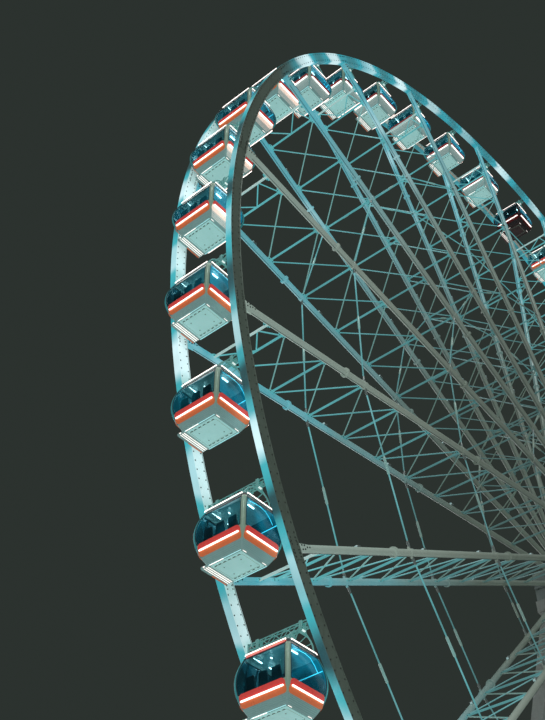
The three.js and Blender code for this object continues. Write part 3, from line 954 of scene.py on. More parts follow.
def nodePlate(share, side):
    # the gusset that the lattice bars are bolted to, in the plane of the frame
    half = spokes["plateLength"] / 2
    start = spokes["tube"] * 0.45
    end = spokes["tube"] / 2 + spokes["plateReach"]
    middle = onTube(share, side)
    outline = [middle + Vector((along, -side * across, 0)) for along, across in (
        (-half, start), (half, start), (half, start + 0.03), (half * 0.6, end), (-half * 0.6, end),
        (-half, start + 0.03))]
    return plateShape(outline, (0, 0, 1), spokes["plateThickness"], "spokeLattice")


def collar(share, side):
    # a split clamp round a tube, with its two bolt lugs
    middle = onTube(share, side)
    half, radius, edge = spokes["collarLength"] / 2, spokes["collarRadius"], 0.004
    yield latheShape([(0.055, -half), (radius - edge, -half), (radius, -half + edge), (radius, half - edge),
                      (radius - edge, half), (0.055, half)], middle, (1, 0, 0), 16, "spokeTube")
    for way in ways:
        yield blockShape((0.07, 0.03, 0.035), middle + Vector((0, 0, way * (radius + 0.012))), "spokeTube", 0.003)


def tieFittings(share, side):
    # the fork at each end of a tie, and the turnbuckle in its middle
    start = onTube(share, side)
    end = Matrix.Rotation(-bayTurn, 3, "Y") @ start
    along = (end - start).normalized()
    fork = [(0.022, 0.0), (0.024, 0.02), (0.024, 0.10), (0.015, 0.14)]
    for origin, way in ((start, 1), (end, -1)):
        yield latheShape(fork, origin + along * way * 0.065, along * way, 8, "clampSteel")
    turnbuckle = [(0.014, -0.17), (0.023, -0.15), (0.023, 0.15), (0.014, 0.17)]
    yield latheShape(turnbuckle, (start + end) / 2, along, 8, "spokeBrace")


def spokeLamp(share, side):
    # a small floodlight on the tube, facing along the spoke to the rim
    middle = onTube(share, side) + Vector((0, -side * 0.03, -0.075))
    return [
        blockShape((0.10, 0.055, 0.05), middle, "clampSteel", 0.014),
        blockShape((0.012, 0.045, 0.038), middle + Vector((0.053, 0, 0)), "spokeLight", 0.003),
        blockShape((0.03, 0.02, 0.05), middle + Vector((0, 0, 0.035)), "clampSteel", 0.003),
    ]


def spokeEnds():
    # an end block and two tapered cheek plates at the ring, a base plate and two fins at the hub
    inner, outer = tubeEnds()
    for side in ways:
        rimEnd, hubEnd = onTube(outer, side), onTube(inner, side)
        yield blockShape((0.022, 0.112, 0.118), rimEnd - Vector((0.0115, 0, 0)), "spokeTube", 0.003)
        yield blockShape((0.022, 0.178, 0.210), hubEnd + Vector((0.0115, 0, 0)), "spokeTube", 0.003)
        for way in ways:
            y = rimEnd.y + way * 0.0515
            cheek = [(rimEnd.x - x, y, z) for x, z in (
                (0.02, -0.052), (0.02, 0.052), (0.08, 0.052), (0.26, 0.034), (0.26, -0.034), (0.08, -0.052))]
            fin = [(hubEnd.x + x, hubEnd.y, way * z) for x, z in ((0.02, 0.05), (0.02, 0.112), (0.30, 0.05))]
            yield plateShape(cheek, (0, 1, 0), 0.010, "spokeTube")
            yield plateShape(fin, (0, 1, 0), 0.012, "spokeTube")
            for x, z in spokes["cheekBolts"]:
                yield boltShape("rimEnd", (rimEnd.x - x, y + way * 0.005, z), (0, way, 0))
            for z in (-0.09, 0.09):
                yield boltShape("hubEnd", (hubEnd.x + 0.023, hubEnd.y + way * 0.062, z), (1, 0, 0))


def spokeFittings():
    yield from spokeEnds()
    flange = [(0.055, 0.0), (0.088, 0.0), (0.088, 0.018), (0.055, 0.018)]
    for side in ways:
        for share in [spokes["endStrut"]] + spokeShares:
            yield nodePlate(share, side)
            middle = onTube(share, side, spokes["tube"] / 2 + 0.030)
            for along in spokes["plateBolts"]:
                for up in ways:
                    yield boltShape("gusset", middle + Vector((along, 0, up * 0.006)), (0, 0, up))
        for node in spokes["tiedNodes"]:
            yield from collar(spokeShares[node], side)
            yield from tieFittings(spokeShares[node], side)
        for share in spokes["flanges"]:
            for way in ways:
                start = onTube(share, side) + Vector((way * 0.010 - 0.009, 0, 0))
                yield latheShape(flange, start, (1, 0, 0), 18, "spokeTube")
        for share in spokes["lamps"]:
            yield from spokeLamp(share, side)


def addSpokes():
    perSet = spokes["framesPerSet"]
    fittings = list(spokeFittings())
    bolts = [shape for shape in fittings if shape[2] == "boltHead"]
    others = [shape for shape in fittings if shape[2] != "boltHead"]
    for number in range(bayCount // perSet):
        first = number * perSet * bayTurn
        frames = joinMeshes(spokeBars(first, perSet) + shapesRound(others, first, perSet))
        addPiece(f"spokeFrames{number + 1}", frames, "wheel", "spoke_steel", f"spoke_set_{number + 1}")
        addPiece(f"spokeBolts{number + 1}", shapesRound(bolts, first, perSet)[0], "wheel", "bolt_steel")
    print("spokes made")


addSpokes()

# The hub: a drum between two flanges, with ribs and rings of bolts
hub = {
    "flangeRadius": 0.90,    # to the flats that the spokes stand on
    "flangeWidth": 0.19,
    "drumRadius": 0.42,
    "collarRadius": 0.23,
    "spindleRadius": 0.15,
    "spindleReach": 1.56,
    "collarFace": 1.0797,
    "ribThickness": 0.018,
    "ribRun": 0.34,          # along the drum
    "boltRings": ((0.60, 0.02), (0.82, 0.0), (0.82, 0.0)),    # radius, and depth below the flange's face
}


def addHub():
    drum, boss, spindle = hub["drumRadius"], hub["collarRadius"], hub["spindleRadius"]
    back = spokes["apexOffset"] - hub["flangeWidth"] / 2
    face = spokes["apexOffset"] + hub["flangeWidth"] / 2
    outer = hub["flangeRadius"] / math.cos(math.pi / bayCount)
    flange = [(0.30, back), (outer - 0.012, back), (outer, back + 0.012), (outer, face - 0.012), (outer - 0.012, face),
              (outer - 0.10, face), (outer - 0.12, face - 0.02), (0.52, face - 0.02), (0.50, face), (0.20, face)]
    bossRings = [(0.20, face - 0.03), (boss + 0.10, face - 0.03), (boss + 0.10, face + 0.02), (boss, face + 0.045),
                 (boss, hub["collarFace"]), (0.10, hub["collarFace"])]
    spindleRings = [(spindle, hub["collarFace"] - 0.05), (spindle, hub["spindleReach"] - 0.012),
                    (spindle - 0.012, hub["spindleReach"]), (0.05, hub["spindleReach"])]
    shapes = [latheShape([(drum - 0.03, -back), (drum, -back + 0.04), (drum, back - 0.04), (drum - 0.03, back)],
                         (0, 0, 0), (0, 1, 0), 63, "hubPaint")]
    ribs, bolts = [], []
    for side in ways:
        way = (0, side, 0)
        shapes += [latheShape(flange, (0, 0, 0), way, bayCount, "hubPaint", 0.0),
                   latheShape(bossRings, (0, 0, 0), way, 48, "hubPaint"),
                   latheShape(spindleRings, (0, 0, 0), way, 40, "clampSteel")]
        for part, (radius, depth) in enumerate(hub["boltRings"]):
            slant = Matrix.Rotation(-part * bayTurn / 3, 4, "Y")
            bolts.append(movedShape(boltShape("flange", (radius, side * (face - depth), 0), way), slant))
        far = hub["flangeRadius"] - 0.05
        ribs.append(plateShape([(drum - 0.02, side * back, 0), (far, side * back, 0), (far, side * (back - 0.03), 0),
                                (drum - 0.02, side * (back - hub["ribRun"]), 0)],
                               (0, 0, 1), hub["ribThickness"], "hubPaint"))
    body = meshFrom("hub", [movedShape(shape, Matrix.Translation(hubCentre)) for shape in shapes])
    fittings = shapesRound(ribs, bayTurn / 2, bayCount) + shapesRound(bolts, bayTurn / 6, bayCount)
    addPiece("hubBody", joinMeshes([body] + fittings), "wheel", "hub_steel", "hub")
    print("hub made")


addHub()

# The cabins. Heights are from the pivot. Half widths are along X and along Y, and follow a curve between
# the floor, the waist and the eaves.
barrel = {
    "floor": -1.160,
    "waist": -0.700,
    "eaves": -0.262,
    "floorHalf": (0.272, 0.315),
    "waistHalf": (0.420, 0.466),
    "eavesHalf": (0.282, 0.367),
    "cornerRadius": 0.026,
    "cornerSteps": 4,
    "sill": -0.874,
    "head": -0.335,
    "bandTop": -1.043,
    "grooves": 5,
    "grooveDepth": 0.006,
    "post": 0.048,
    "wall": 0.020,
    # above the eaves: share of their half widths, and height
    "crown": ((0.92, -0.240), (0.78, -0.224), (0.55, -0.213), (0.30, -0.208)),
    "ribHeight": -0.226,
}

def halfAt(axis, z):
    far = barrel["floor"] if z < barrel["waist"] else barrel["eaves"]
    farHalf = barrel["floorHalf" if z < barrel["waist"] else "eavesHalf"][axis]
    share = (z - barrel["waist"]) / (far - barrel["waist"])
    return barrel["waistHalf"][axis] - (barrel["waistHalf"][axis] - farHalf) * share ** 2


def rectLoop(halves, radius, z):
    points = []
    for corner, (signX, signY) in enumerate(((1, 1), (-1, 1), (-1, -1), (1, -1))):
        for step in range(barrel["cornerSteps"] + 1):
            turn = math.pi / 2 * (corner + step / barrel["cornerSteps"])
            points.append((signX * (halves[0] - radius) + radius * math.cos(turn),
                           signY * (halves[1] - radius) + radius * math.sin(turn), z))
    return points


def barrelLoop(z, lift=0.0):
    return rectLoop([halfAt(axis, z) + lift for axis in (0, 1)], barrel["cornerRadius"] + min(lift, 0), z)


faceWays = [(Vector((0, -1, 0)), Vector((1, 0, 0))), (Vector((1, 0, 0)), Vector((0, 1, 0))),
            (Vector((0, 1, 0)), Vector((-1, 0, 0))), (Vector((-1, 0, 0)), Vector((0, -1, 0)))]


def sideHalf(face, z):
    # half the width of a face, along the face
    return halfAt(face % 2, z)


def onFace(face, across, z, lift=0.0):
    out, along = faceWays[face]
    axis = 1 - face % 2
    slope = (halfAt(axis, z + 0.001) - halfAt(axis, z - 0.001)) / 0.002
    length = math.hypot(1, slope)
    return out * (halfAt(axis, z) + lift / length) + along * across + Vector((0, 0, z - lift * slope / length))


def steps(low, high, count):
    return [low + (high - low) * step / count for step in range(count + 1)]


def insetSpan(face, inset):
    # a span that stays this far from both ends of its side
    return lambda z: (inset - sideHalf(face, z), sideHalf(face, z) - inset)


def facePanel(face, heights, spanAt, lift, thickness, finish, columns=1):
    # a curved panel on one side of the barrel: its span can change with the height
    outer, inner = [], []
    for z in heights:
        for across in steps(*spanAt(z), columns):
            outer.append(onFace(face, across, z, lift))
            inner.append(onFace(face, across, z, lift - thickness))
    rows, wide, back = len(heights), columns + 1, len(outer)
    faces = []
    for row in range(rows - 1):
        for a in range(row * wide, row * wide + columns):
            faces.append((a, a + 1, a + wide + 1, a + wide))
            faces.append((back + a, back + a + wide, back + a + wide + 1, back + a + 1))
    border = (list(range(wide)) + [row * wide + wide - 1 for row in range(1, rows)] +
              [(rows - 1) * wide + column for column in range(wide - 2, -1, -1)] +
              [row * wide for row in range(rows - 2, 0, -1)])
    for here, there in zip(border, border[1:] + border[:1]):
        faces.append((here, back + here, back + there, there))
    return outer + inner, faces, finish


def openShape(loops, finish, lowEnd=False, highEnd=False):
    # loops without their end faces, or with one of them
    corners, faces, _ = loopsShape(loops, finish, caps=False)
    count = len(loops[0])
    if lowEnd:
        faces.append(tuple(reversed(range(count))))
    if highEnd:
        faces.append(tuple(range(len(corners) - count, len(corners))))
    return corners, faces, finish


def cornerPosts(finish, edgeFinish):
    # the two corners that the camera sees edge-on catch the light along their glass
    wide, wall, radius = barrel["post"], barrel["wall"], barrel["cornerRadius"]
    count = barrel["cornerSteps"]
    arcs = steps(0, math.pi / 2, count)
    for signX, signY in [(x, y) for x in ways for y in ways]:
        loops = []
        for z in steps(barrel["bandTop"], barrel["head"], 12):
            halfX, halfY = halfAt(0, z), halfAt(1, z)
            path = [(halfX, halfY - wide)]
            path += [(halfX - radius + radius * math.cos(arc), halfY - radius + radius * math.sin(arc))
                     for arc in arcs]
            path += [(halfX - wide, halfY), (halfX - wide, halfY - wall), (halfX - wall, halfY - wall),
                     (halfX - wall, halfY - wide)]
            if signX * signY < 0:
                path.reverse()
            loops.append([Vector((signX * x, signY * y, z)) for x, y in path])
        yield loopsShape(loops, edgeFinish if signX * signY < 0 else finish)


def cabinTub(shellFinish, bedFinish):
    # the lower body: a grooved band, the bed of the coral panels, the sill and the floor inside
    floor, top, sill, wall = barrel["floor"], barrel["bandTop"], barrel["sill"], barrel["wall"]
    loops = [rectLoop([half - 0.010 for half in barrel["floorHalf"]], 0.02, floor), barrelLoop(floor + 0.008)]
    pitch = (top - floor - 0.016) / barrel["grooves"]
    for groove in range(barrel["grooves"]):
        z = floor + 0.012 + groove * pitch
        loops += [barrelLoop(z + pitch * share, -depth) for share, depth in (
            (0.12, 0.0), (0.72, 0.0), (0.78, barrel["grooveDepth"]), (0.96, barrel["grooveDepth"]))]
    loops += [barrelLoop(top), barrelLoop(top + 0.004, -0.005)]
    bed = [barrelLoop(top + 0.004, -0.005)] + [barrelLoop(z, -0.005) for z in steps(top + 0.02, sill - 0.012, 4)]
    bed += [barrelLoop(sill - 0.010, -0.001), barrelLoop(sill, -0.001)]
    bed += [barrelLoop(z, -wall) for z in (sill, -1.0, floor + 0.04)]
    return [openShape(loops, shellFinish, lowEnd=True), openShape(bed, bedFinish, highEnd=True)]


def cabinRoof(shellFinish):
    head, eaves, wall = barrel["head"], barrel["eaves"], barrel["wall"]
    eavesX, eavesY = barrel["eavesHalf"]
    band = [barrelLoop(head, -wall), barrelLoop(head)] + [barrelLoop(z) for z in steps(head + 0.01, eaves, 3)]
    top = [barrelLoop(eaves), barrelLoop(eaves + 0.002, 0.007),
           rectLoop((eavesX + 0.005, eavesY + 0.005), 0.03, eaves + 0.012)]
    top += [rectLoop((eavesX * share, eavesY * share), 0.03, z) for share, z in barrel["crown"]]
    ceiling = [rectLoop([halfAt(axis, -0.30) - wall for axis in (0, 1)], 0.02, -0.300), barrelLoop(head, -wall)]
    corners, faces, _ = openShape(ceiling, shellFinish)
    faces = [tuple(reversed(face)) for face in faces] + [tuple(range(len(ceiling[0])))]
    # a pressed rib round the crown
    rib = [(x * eavesX * 0.80, y * eavesY * 0.80, barrel["ribHeight"]) for x, y in (
        (-1, -0.9), (-0.9, -1), (0.9, -1), (1, -0.9), (1, 0.9), (0.9, 1), (-0.9, 1), (-1, 0.9), (-1, -0.9))]
    return [openShape(band, "cabinHead"), openShape(top, shellFinish, highEnd=True),
            (corners, faces, shellFinish), rodShape(rib, 0.006, 6, "cabinHead")]


# Fittings under the floor: places along X and Y, and depths below the floor
underside = {
    "strips": (-0.205, 0.190),
    "vents": (-0.205, -0.12, -0.035, 0.05, 0.135, 0.205),
    "seamsX": (-0.19, 0.175),
    "seamsY": (-0.245, 0.245),
    "edge": 0.262,
    "frontLights": ((-0.235, -0.17), (0.16, 0.235)),
    "bolts": ((-0.10, -0.15), (0.10, -0.15), (-0.10, 0.15), (0.10, 0.15)),
}


def undersideShapes(finish, trimFinish, highlightFinish):
    low, edge = barrel["floor"], underside["edge"]
    yield blockShape((0.47, 0.55, 0.014), (0, 0, low - 0.005), finish, 0.005)
    for x in underside["strips"]:
        yield blockShape((0.022, 0.50, 0.005), (x, 0, low - 0.0125), finish, 0.001)
        for y in underside["vents"]:
            yield blockShape((0.013, 0.046, 0.004), (x, y, low - 0.0155), "ventSlot", 0.001)
    for x in underside["seamsX"]:
        yield blockShape((0.004, 0.49, 0.004), (x, 0, low - 0.0125), "cabinPost", 0.001)
    for y in underside["seamsY"]:
        yield blockShape((0.36, 0.004, 0.004), (-0.008, y, low - 0.0125), "cabinPost", 0.001)
    # the rods along the two long edges are painted highlights on the plain cabins
    for x in (-edge, edge):
        yield rodShape([(x, -0.29, low - 0.002), (x, 0.29, low - 0.002)], 0.006, 6, highlightFinish)
    yield rodShape([(-edge, 0.02, low - 0.006), (-edge, 0.27, low - 0.006)], 0.006, 6, "stepLight")
    for ends in underside["frontLights"]:
        yield rodShape([(x, -0.304, low - 0.003) for x in ends], 0.005, 6, "stepLight")
    head = [(0.012, 0.0), (0.012, 0.004), (0.006, 0.006)]
    for x, y in underside["bolts"]:
        yield latheShape(head, (x, y, low - 0.011), (0, 0, -1), 8, trimFinish)


doorStepRows = {
    "lights": ((0.319, 0.013), (0.3545, 0.015), (0.3895, 0.010)),    # place and width
    "ribs": (0.345, 0.37, 0.395, 0.42),
    "brackets": (-0.2, 0.0, 0.2),
}


def doorStep(shellFinish, edgeFinish):
    # on its underside three lit strips, and a row of anti-slip ribs on top
    low = barrel["floor"]
    yield blockShape((0.524, 0.132, 0.034), (0, 0.374, low + 0.018), shellFinish, 0.006)
    yield blockShape((0.29, 0.020, 0.010), (0.108, 0.430, low + 0.001), edgeFinish, 0.003)
    yield blockShape((0.19, 0.020, 0.010), (-0.150, 0.430, low + 0.001), shellFinish, 0.003)
    yield blockShape((0.50, 0.006, 0.020), (0, 0.4385, low + 0.018), edgeFinish, 0.002)
    yield capsuleShape((-0.272, 0.352, low + 0.004), (-0.272, 0.384, low + 0.004), 0.010, 8, "stepLight")
    for y, width in doorStepRows["lights"]:
        yield blockShape((0.492, width, 0.008), (0, y, low - 0.002), "stepLight", 0.003)
    for y in doorStepRows["ribs"]:
        yield blockShape((0.48, 0.008, 0.004), (0, y, low + 0.036), "cabinHead", 0.001)
    for x in doorStepRows["brackets"]:
        yield plateShape([(x, 0.30, low + 0.035), (x, 0.41, low + 0.035), (x, 0.325, low + 0.09)], (1, 0, 0), 0.010,
                         shellFinish)


coral = {"low": -1.044, "high": -0.864, "endGap": 0.040, "corner": 0.055, "lift": 0.010, "thickness": 0.016}


def coralShapes(face, low, high, upperFinish, lowerFinish):
    # a bar with rounded corners, in two halves: the upper one redder
    middle, radius = (low + high) / 2, (high - low) / 2
    half = sideHalf(face, middle) - coral["endGap"]
    corner = min(coral["corner"], radius)

    def spanAt(z):
        rise = max(abs(z - middle) - (radius - corner), 0)
        reach = half - corner + math.sqrt(max(corner ** 2 - rise ** 2, 0))
        return -reach, reach

    rises = [radius * math.sin(math.pi / 2 * step / 7) for step in range(8)]
    below = [middle - rise for rise in reversed(rises)]
    above = [middle + rise for rise in rises]
    below[0] += 0.0005
    above[-1] -= 0.0005
    return [facePanel(face, heights, spanAt, coral["lift"], coral["thickness"], finish, 2)
            for heights, finish in ((below, lowerFinish), (above, upperFinish))]


# The light tubes: radius, height from the pivot, gap at both ends, and how far they stand off
lightTubes = {"lower": (0.0125, -0.956, 0.060, 0.022), "upper": (0.0068, -0.285, 0.030, 0.024)}
# The lamps under the ceiling: both ends along X, place along Y, and radius
roomLamps = {
    "height": -0.342,
    "rows": ((-0.285, -0.17, 0.235, 0.005), (-0.19, -0.105, 0.235, 0.010), (0.04, 0.15, 0.24, 0.008),
             (-0.12, 0.013, -0.275, 0.012), (-0.155, -0.115, 0.05, 0.009)),
}


def faceTube(face, level):
    radius, z, gap, lift = lightTubes[level]
    half = sideHalf(face, z) - gap
    return capsuleShape(onFace(face, -half, z, lift), onFace(face, half, z, lift), radius, 10, "tubeLight")


def tubeClips(face, level):
    # saddles that hold a tube, and a cap hooked over each end
    radius, z, gap, lift = lightTubes[level]
    half = sideHalf(face, z) - gap
    for share in (-0.85, -0.3, 0.3, 0.85):
        yield blockShape((0.014, 0.014, 0.020), onFace(face, half * share, z, lift - radius), "hangerSteel", 0.003)
    for across in (-half, half):
        yield rodShape([onFace(face, across, z, lift), onFace(face, across, z - 0.020, lift - 0.004)], radius * 0.7, 6,
                       "tubeLight")


# The door on +Y: places across it and heights
door = {
    "frames": (-0.19, 0.0, 0.19),
    "frameHalf": 0.009,
    "frameLow": -1.10,
    "sillHeights": (-1.112, -1.100),
    "sillHalf": 0.20,
    "handle": (-0.80, -0.62),
    "handlePlace": 0.045,
    "hinges": (-1.02, -0.60, -0.40),
    "hingePlace": 0.205,
}


def doorShapes():
    # the two leaves: their frames, the seam between them, handles and hinges
    for middle in door["frames"]:
        low, high = middle - door["frameHalf"], middle + door["frameHalf"]
        yield facePanel(2, steps(door["frameLow"], barrel["head"], 12), lambda z: (low, high), 0.014, 0.018,
                        "cabinHead")
    half = door["sillHalf"]
    yield facePanel(2, door["sillHeights"], lambda z: (-half, half), 0.014, 0.018, "cabinHead")
    low, high = door["handle"]
    for side in ways:
        path = [(low, 0.01)] + [(z, 0.034) for z in steps(low, high, 4)] + [(high, 0.01)]
        yield rodShape([onFace(2, side * door["handlePlace"], z, lift) for z, lift in path], 0.006, 6, "hangerSteel")
    for side in ways:
        for z in door["hinges"]:
            yield blockShape((0.020, 0.020, 0.05), onFace(2, side * door["hingePlace"], z, 0.008), "hangerSteel", 0.004)


# The bead round a pane: its width, how far it stands off, and its thickness
bead = {"width": 0.009, "rowWidth": 0.010, "lift": 0.004, "thickness": 0.012}


def windowTrim(face):
    low, high, post, row = barrel["sill"], barrel["head"], barrel["post"], bead["rowWidth"]

    def upright(way):
        def span(z):
            half = sideHalf(face, z) - post
            return sorted((way * half, way * (half - bead["width"])))
        return span

    panels = [(steps(low, high, 10), upright(way)) for way in ways]
    panels += [([z, z + row], insetSpan(face, post)) for z in (low, high - row)]
    for heights, span in panels:
        yield facePanel(face, heights, span, bead["lift"], bead["thickness"], "cabinHead")


# Below the coral: strips between the grooves that the floodlight whitens, painted light, and the bright lines along
# them
bandRows = {
    "strips": ((-1.140, -1.124), (-1.118, -1.102), (-1.096, -1.080), (-1.074, -1.045)),
    "lines": (-1.1485, -1.1275, -1.106, -1.084, -1.0625),
    "inset": 0.03,
}
cabinFinishes = {
    False: {"shell": "cabinShell", "post": "cabinPost", "edge": "postEdge", "under": "cabinUnder",
            "step": "coralLower", "light": "edgeLight", "line": "bandLine"},
    True: {"shell": "darkShell", "post": "darkShell", "edge": "darkShell", "under": "darkUnder",
           "step": "coralDark", "light": "darkUnder", "line": "darkShell"},
}


def cabinBody(dark, washedFaces):
    use = cabinFinishes[dark]
    yield from cabinTub(use["shell"], use["post"])
    yield from cornerPosts(use["post"], use["edge"])
    yield from cabinRoof(use["shell"])
    yield from undersideShapes(use["under"], use["shell"], use["light"])
    yield from doorStep(use["shell"], use["step"])
    yield from doorShapes()
    for face in range(4):
        yield from windowTrim(face)
    # painted light: the floodlight from the ring below whitens the band under the coral, as pale strips that glow
    washed = "floodlitTeal" if len(washedFaces) > 1 else "shellFloodlit"
    for face in washedFaces:
        for strip in bandRows["strips"]:
            yield facePanel(face, strip, insetSpan(face, bandRows["inset"]), 0.0025, 0.006, washed)
    for z in bandRows["lines"]:
        for face in range(4):
            ends = insetSpan(face, bandRows["inset"])(z)
            yield rodShape([onFace(face, across, z, 0.001) for across in ends], 0.0018, 4, use["line"])


def cabinPanes():
    heights = steps(barrel["sill"] + 0.002, barrel["head"] - 0.002, 10)
    return [facePanel(face, heights, insetSpan(face, barrel["post"] + 0.001), -0.002, 0.006,
                      "cabinGlass" if face else "cabinGlassLit", 3) for face in range(4)]


def cabinCoral(dark, headFaces, washedFaces):
    # where the floodlight falls, the lower coral takes a lit copy of its paint, painted light, and on cabins lit on
    # both faces the upper coral takes a darker copy, painted shade
    bothWashed = len(washedFaces) > 1
    upper = "coralDark" if dark else "coralUpperShaded" if bothWashed else "coralUpper"
    washed = "floodlitTeal" if bothWashed else "coralFloodlit"
    for face in range(4):
        lower = "coralDark" if dark else washed if face in washedFaces else "coralLower"
        yield from coralShapes(face, coral["low"], coral["high"], upper, lower)
    for face in headFaces:
        yield from coralShapes(face, barrel["head"] + 0.002, barrel["eaves"] + 0.002, "coralLower", "coralUpper")


def cabinTubes():
    for face in range(4):
        # the door side has no lower tube, because it would cross the leaves
        if face != 2:
            yield faceTube(face, "lower")
        yield faceTube(face, "upper")
        yield from tubeClips(face, "upper")
    z = roomLamps["height"]
    for first, last, y, radius in roomLamps["rows"]:
        yield capsuleShape((first, y, z), (last, y, z), radius, 8, "roomLight")


# Seats: places along Y, and the outlines of cushion and back as X, Z and half width.
# The rail and the bow inside glow as painted highlights; they and the pole are paths.
seat = {
    "places": (-0.22, 0.0, 0.22),
    "cushion": ((0.18, -0.905, 0.085), (0.175, -0.890, 0.080), (0.19, -0.876, 0.080), (0.325, -0.884, 0.085),
                (0.345, -0.905, 0.085)),
    "back": ((0.327, -0.880, 0.085), (0.355, -0.880, 0.085), (0.372, -0.66, 0.070), (0.366, -0.64, 0.060),
             (0.352, -0.66, 0.070)),
    "rail": ((0.350, -0.415, -0.50), (0.352, -0.40, -0.50), (0.356, 0.0, -0.50), (0.340, 0.02, -0.50)),
    "highlightBow": ((-0.25, -0.405, -0.41), (-0.12, -0.409, -0.395), (0.0, -0.411, -0.39), (0.10, -0.415, -0.42),
            (0.18, -0.423, -0.50), (0.22, -0.432, -0.58)),
    "pole": ((0, 0, -1.118), (0, 0, -0.32)),
}


def cabinSeats():
    for side in ways:
        for y in seat["places"]:
            for part in ("cushion", "back"):
                yield hullShape([(side * x, y + way * half, z) for way in ways for x, z, half in seat[part]],
                                "seatShell")
        yield blockShape((0.10, 0.60, 0.20), (side * 0.23, 0, -1.015), "seatShell", 0.01)
    yield rodShape(seat["rail"], 0.006, 8, "railLight")
    yield rodShape(seat["highlightBow"], 0.0045, 6, "railLight")
    yield rodShape(seat["pole"], 0.010, 8, "hangerSteel")


# The lattice beam that the cabin hangs from, its bearings at the rings, and the yoke down to the roof.
# The yoke's paths are X, share of the arm's place along Y, and Z.
hanger = {
    "low": -0.035,
    "high": 0.085,
    "half": 0.033,
    "chord": 0.013,
    "lace": 0.0055,
    "panels": 10,
    "reach": 0.5567,
    "armOffset": 0.38,
    "bearing": ((0.024, 0.0), (0.044, 0.0), (0.050, 0.006), (0.050, 0.036), (0.044, 0.042), (0.024, 0.042)),
    "web": ((-0.05, -0.045), (0.05, -0.045), (0.115, -0.100), (-0.115, -0.100)),
    "boltsX": (-0.038, 0.038),
    "boltsZ": (-0.05, 0.07),
    # radius, sides and path
    "yoke": ((0.011, 8, ((0.03, 1, -0.03), (0.10, 1, -0.080), (0.175, 0.985, -0.120), (0.230, 0.96, -0.165),
                         (0.255, 0.93, -0.205), (0.258, 0.90, -0.240))),
             (0.007, 6, ((0.09, 1, -0.075), (0.02, 0.62, -0.215))),
             (0.006, 6, ((0.20, 0.97, -0.142), (0.12, 0.55, -0.213)))),
}


def hangerBeam():
    chord, half = hanger["chord"], hanger["half"] - hanger["chord"] / 2
    low, high = hanger["low"] + chord / 2, hanger["high"] - chord / 2
    reach = hanger["reach"] - 0.02
    for x in (-half, half):
        for z in (low, high):
            yield blockShape((chord, 2 * reach, chord), (x, 0, z), "hangerSteel", 0.003)
    places = steps(-reach, reach, hanger["panels"])
    for index, (first, last) in enumerate(zip(places, places[1:])):
        start, end = (low, high) if index % 2 else (high, low)
        across = -half if index % 2 else half
        laces = [((x, first, start), (x, last, end)) for x in (-half, half)]
        laces += [((across, first, z), (-across, last, z)) for z in (low, high)]
        for path in laces:
            yield rodShape(path, hanger["lace"], 5, "hangerSteel")
    for place in places[1:-1]:
        yield blockShape((2 * half, 0.010, 0.010), (0, place, low), "hangerSteel", 0.002)


def cabinHanger():
    reach = hanger["reach"]
    yield from hangerBeam()
    for side in ways:
        arm = side * hanger["armOffset"]
        yield blockShape((0.10, 0.016, 0.15), (0, side * (reach - 0.0085), 0.010), "hangerSteel", 0.004)
        yield latheShape(hanger["bearing"], (0, side * (reach - 0.062), 0), (0, side, 0), 18, "clampSteel")
        for x in hanger["boltsX"]:
            for z in hanger["boltsZ"]:
                yield boltShape("hanger", (x, side * (reach - 0.0165), z), (0, -side, 0))
        yield blockShape((0.085, 0.050, 0.020), (0, arm, hanger["low"] - 0.008), "bracketLight", 0.005)
        for x in (0.043, -0.043):
            yield blockShape((0.020, 0.052, 0.150), (x, arm, 0.018), "hangerSteel", 0.004)
        yield plateShape([(x, arm, z) for x, z in hanger["web"]], (0, 1, 0), 0.010, "hangerSteel")
        for way in ways:
            for radius, sides, path in hanger["yoke"]:
                yield rodShape([(way * x, arm * share, z) for x, share, z in path], radius, sides, "hangerSteel")
            yield blockShape((0.055, 0.055, 0.022), (way * 0.256, arm * 0.89, -0.236), "hangerSteel", 0.005)
        yield blockShape((0.05, 0.05, 0.17), (0, side * 0.215, -0.120), "hangerSteel", 0.006)
        yield blockShape((0.12, 0.10, 0.014), (0, side * 0.215, -0.204), "hangerSteel", 0.004)
    yield blockShape((0.26, 0.24, 0.034), (0, 0, -0.196), "cabinShell", 0.010)


# Cabins that differ, by number: the dark one, those with coral at the head, and those that the
# floodlights whiten on the near side or on both sides that show
cabinVariants = {"dark": 11, "coralHeads": (1, 25), "headFace": 3, "washedFaces": {0: range(12, 22), 3: range(12, 18)}}
cabinMeshes = {}


def cabinMesh(name, key, shapes, pivot):
    if key not in cabinMeshes:
        cabinMeshes[key] = meshFrom(key, shapes())
    mesh = cabinMeshes[key].copy()
    mesh.name = name
    mesh.transform(Matrix.Translation(pivot))
    return mesh


def addCabins():
    for name in cabinNames:
        digits = name[-2:]
        number = int(digits)
        dark = number == cabinVariants["dark"]
        heads = [cabinVariants["headFace"]] if number in cabinVariants["coralHeads"] else []
        washed = [face for face, numbers in cabinVariants["washedFaces"].items() if number in numbers]
        kind = "dark" if dark else f"plain{washed}"
        for part, key, shapes, slot, nodes in (
                ("Body", "body" + kind, lambda: cabinBody(dark, washed), "cabin_dark" if dark else "cabin_shell",
                 [name]),
                ("Panes", "panes", cabinPanes, "cabin_glass", []),
                ("Coral", f"coral{kind}{heads}", lambda: cabinCoral(dark, heads, washed), "coral_panel", []),
                ("Tubes", "tubes", cabinTubes, "light_tube", []),
                ("Seats", "seats", cabinSeats, "seat_plastic", []),
                ("Hanger", "hanger", cabinHanger, "rim_steel", [])):
            addPiece(f"cabin{part}{digits}", cabinMesh(name, key, shapes, pivots[name]), name, slot, *nodes)
    for mesh in cabinMeshes.values():
        bpy.data.meshes.remove(mesh)
    print("cabins made:", len(cabinNames))


addCabins()

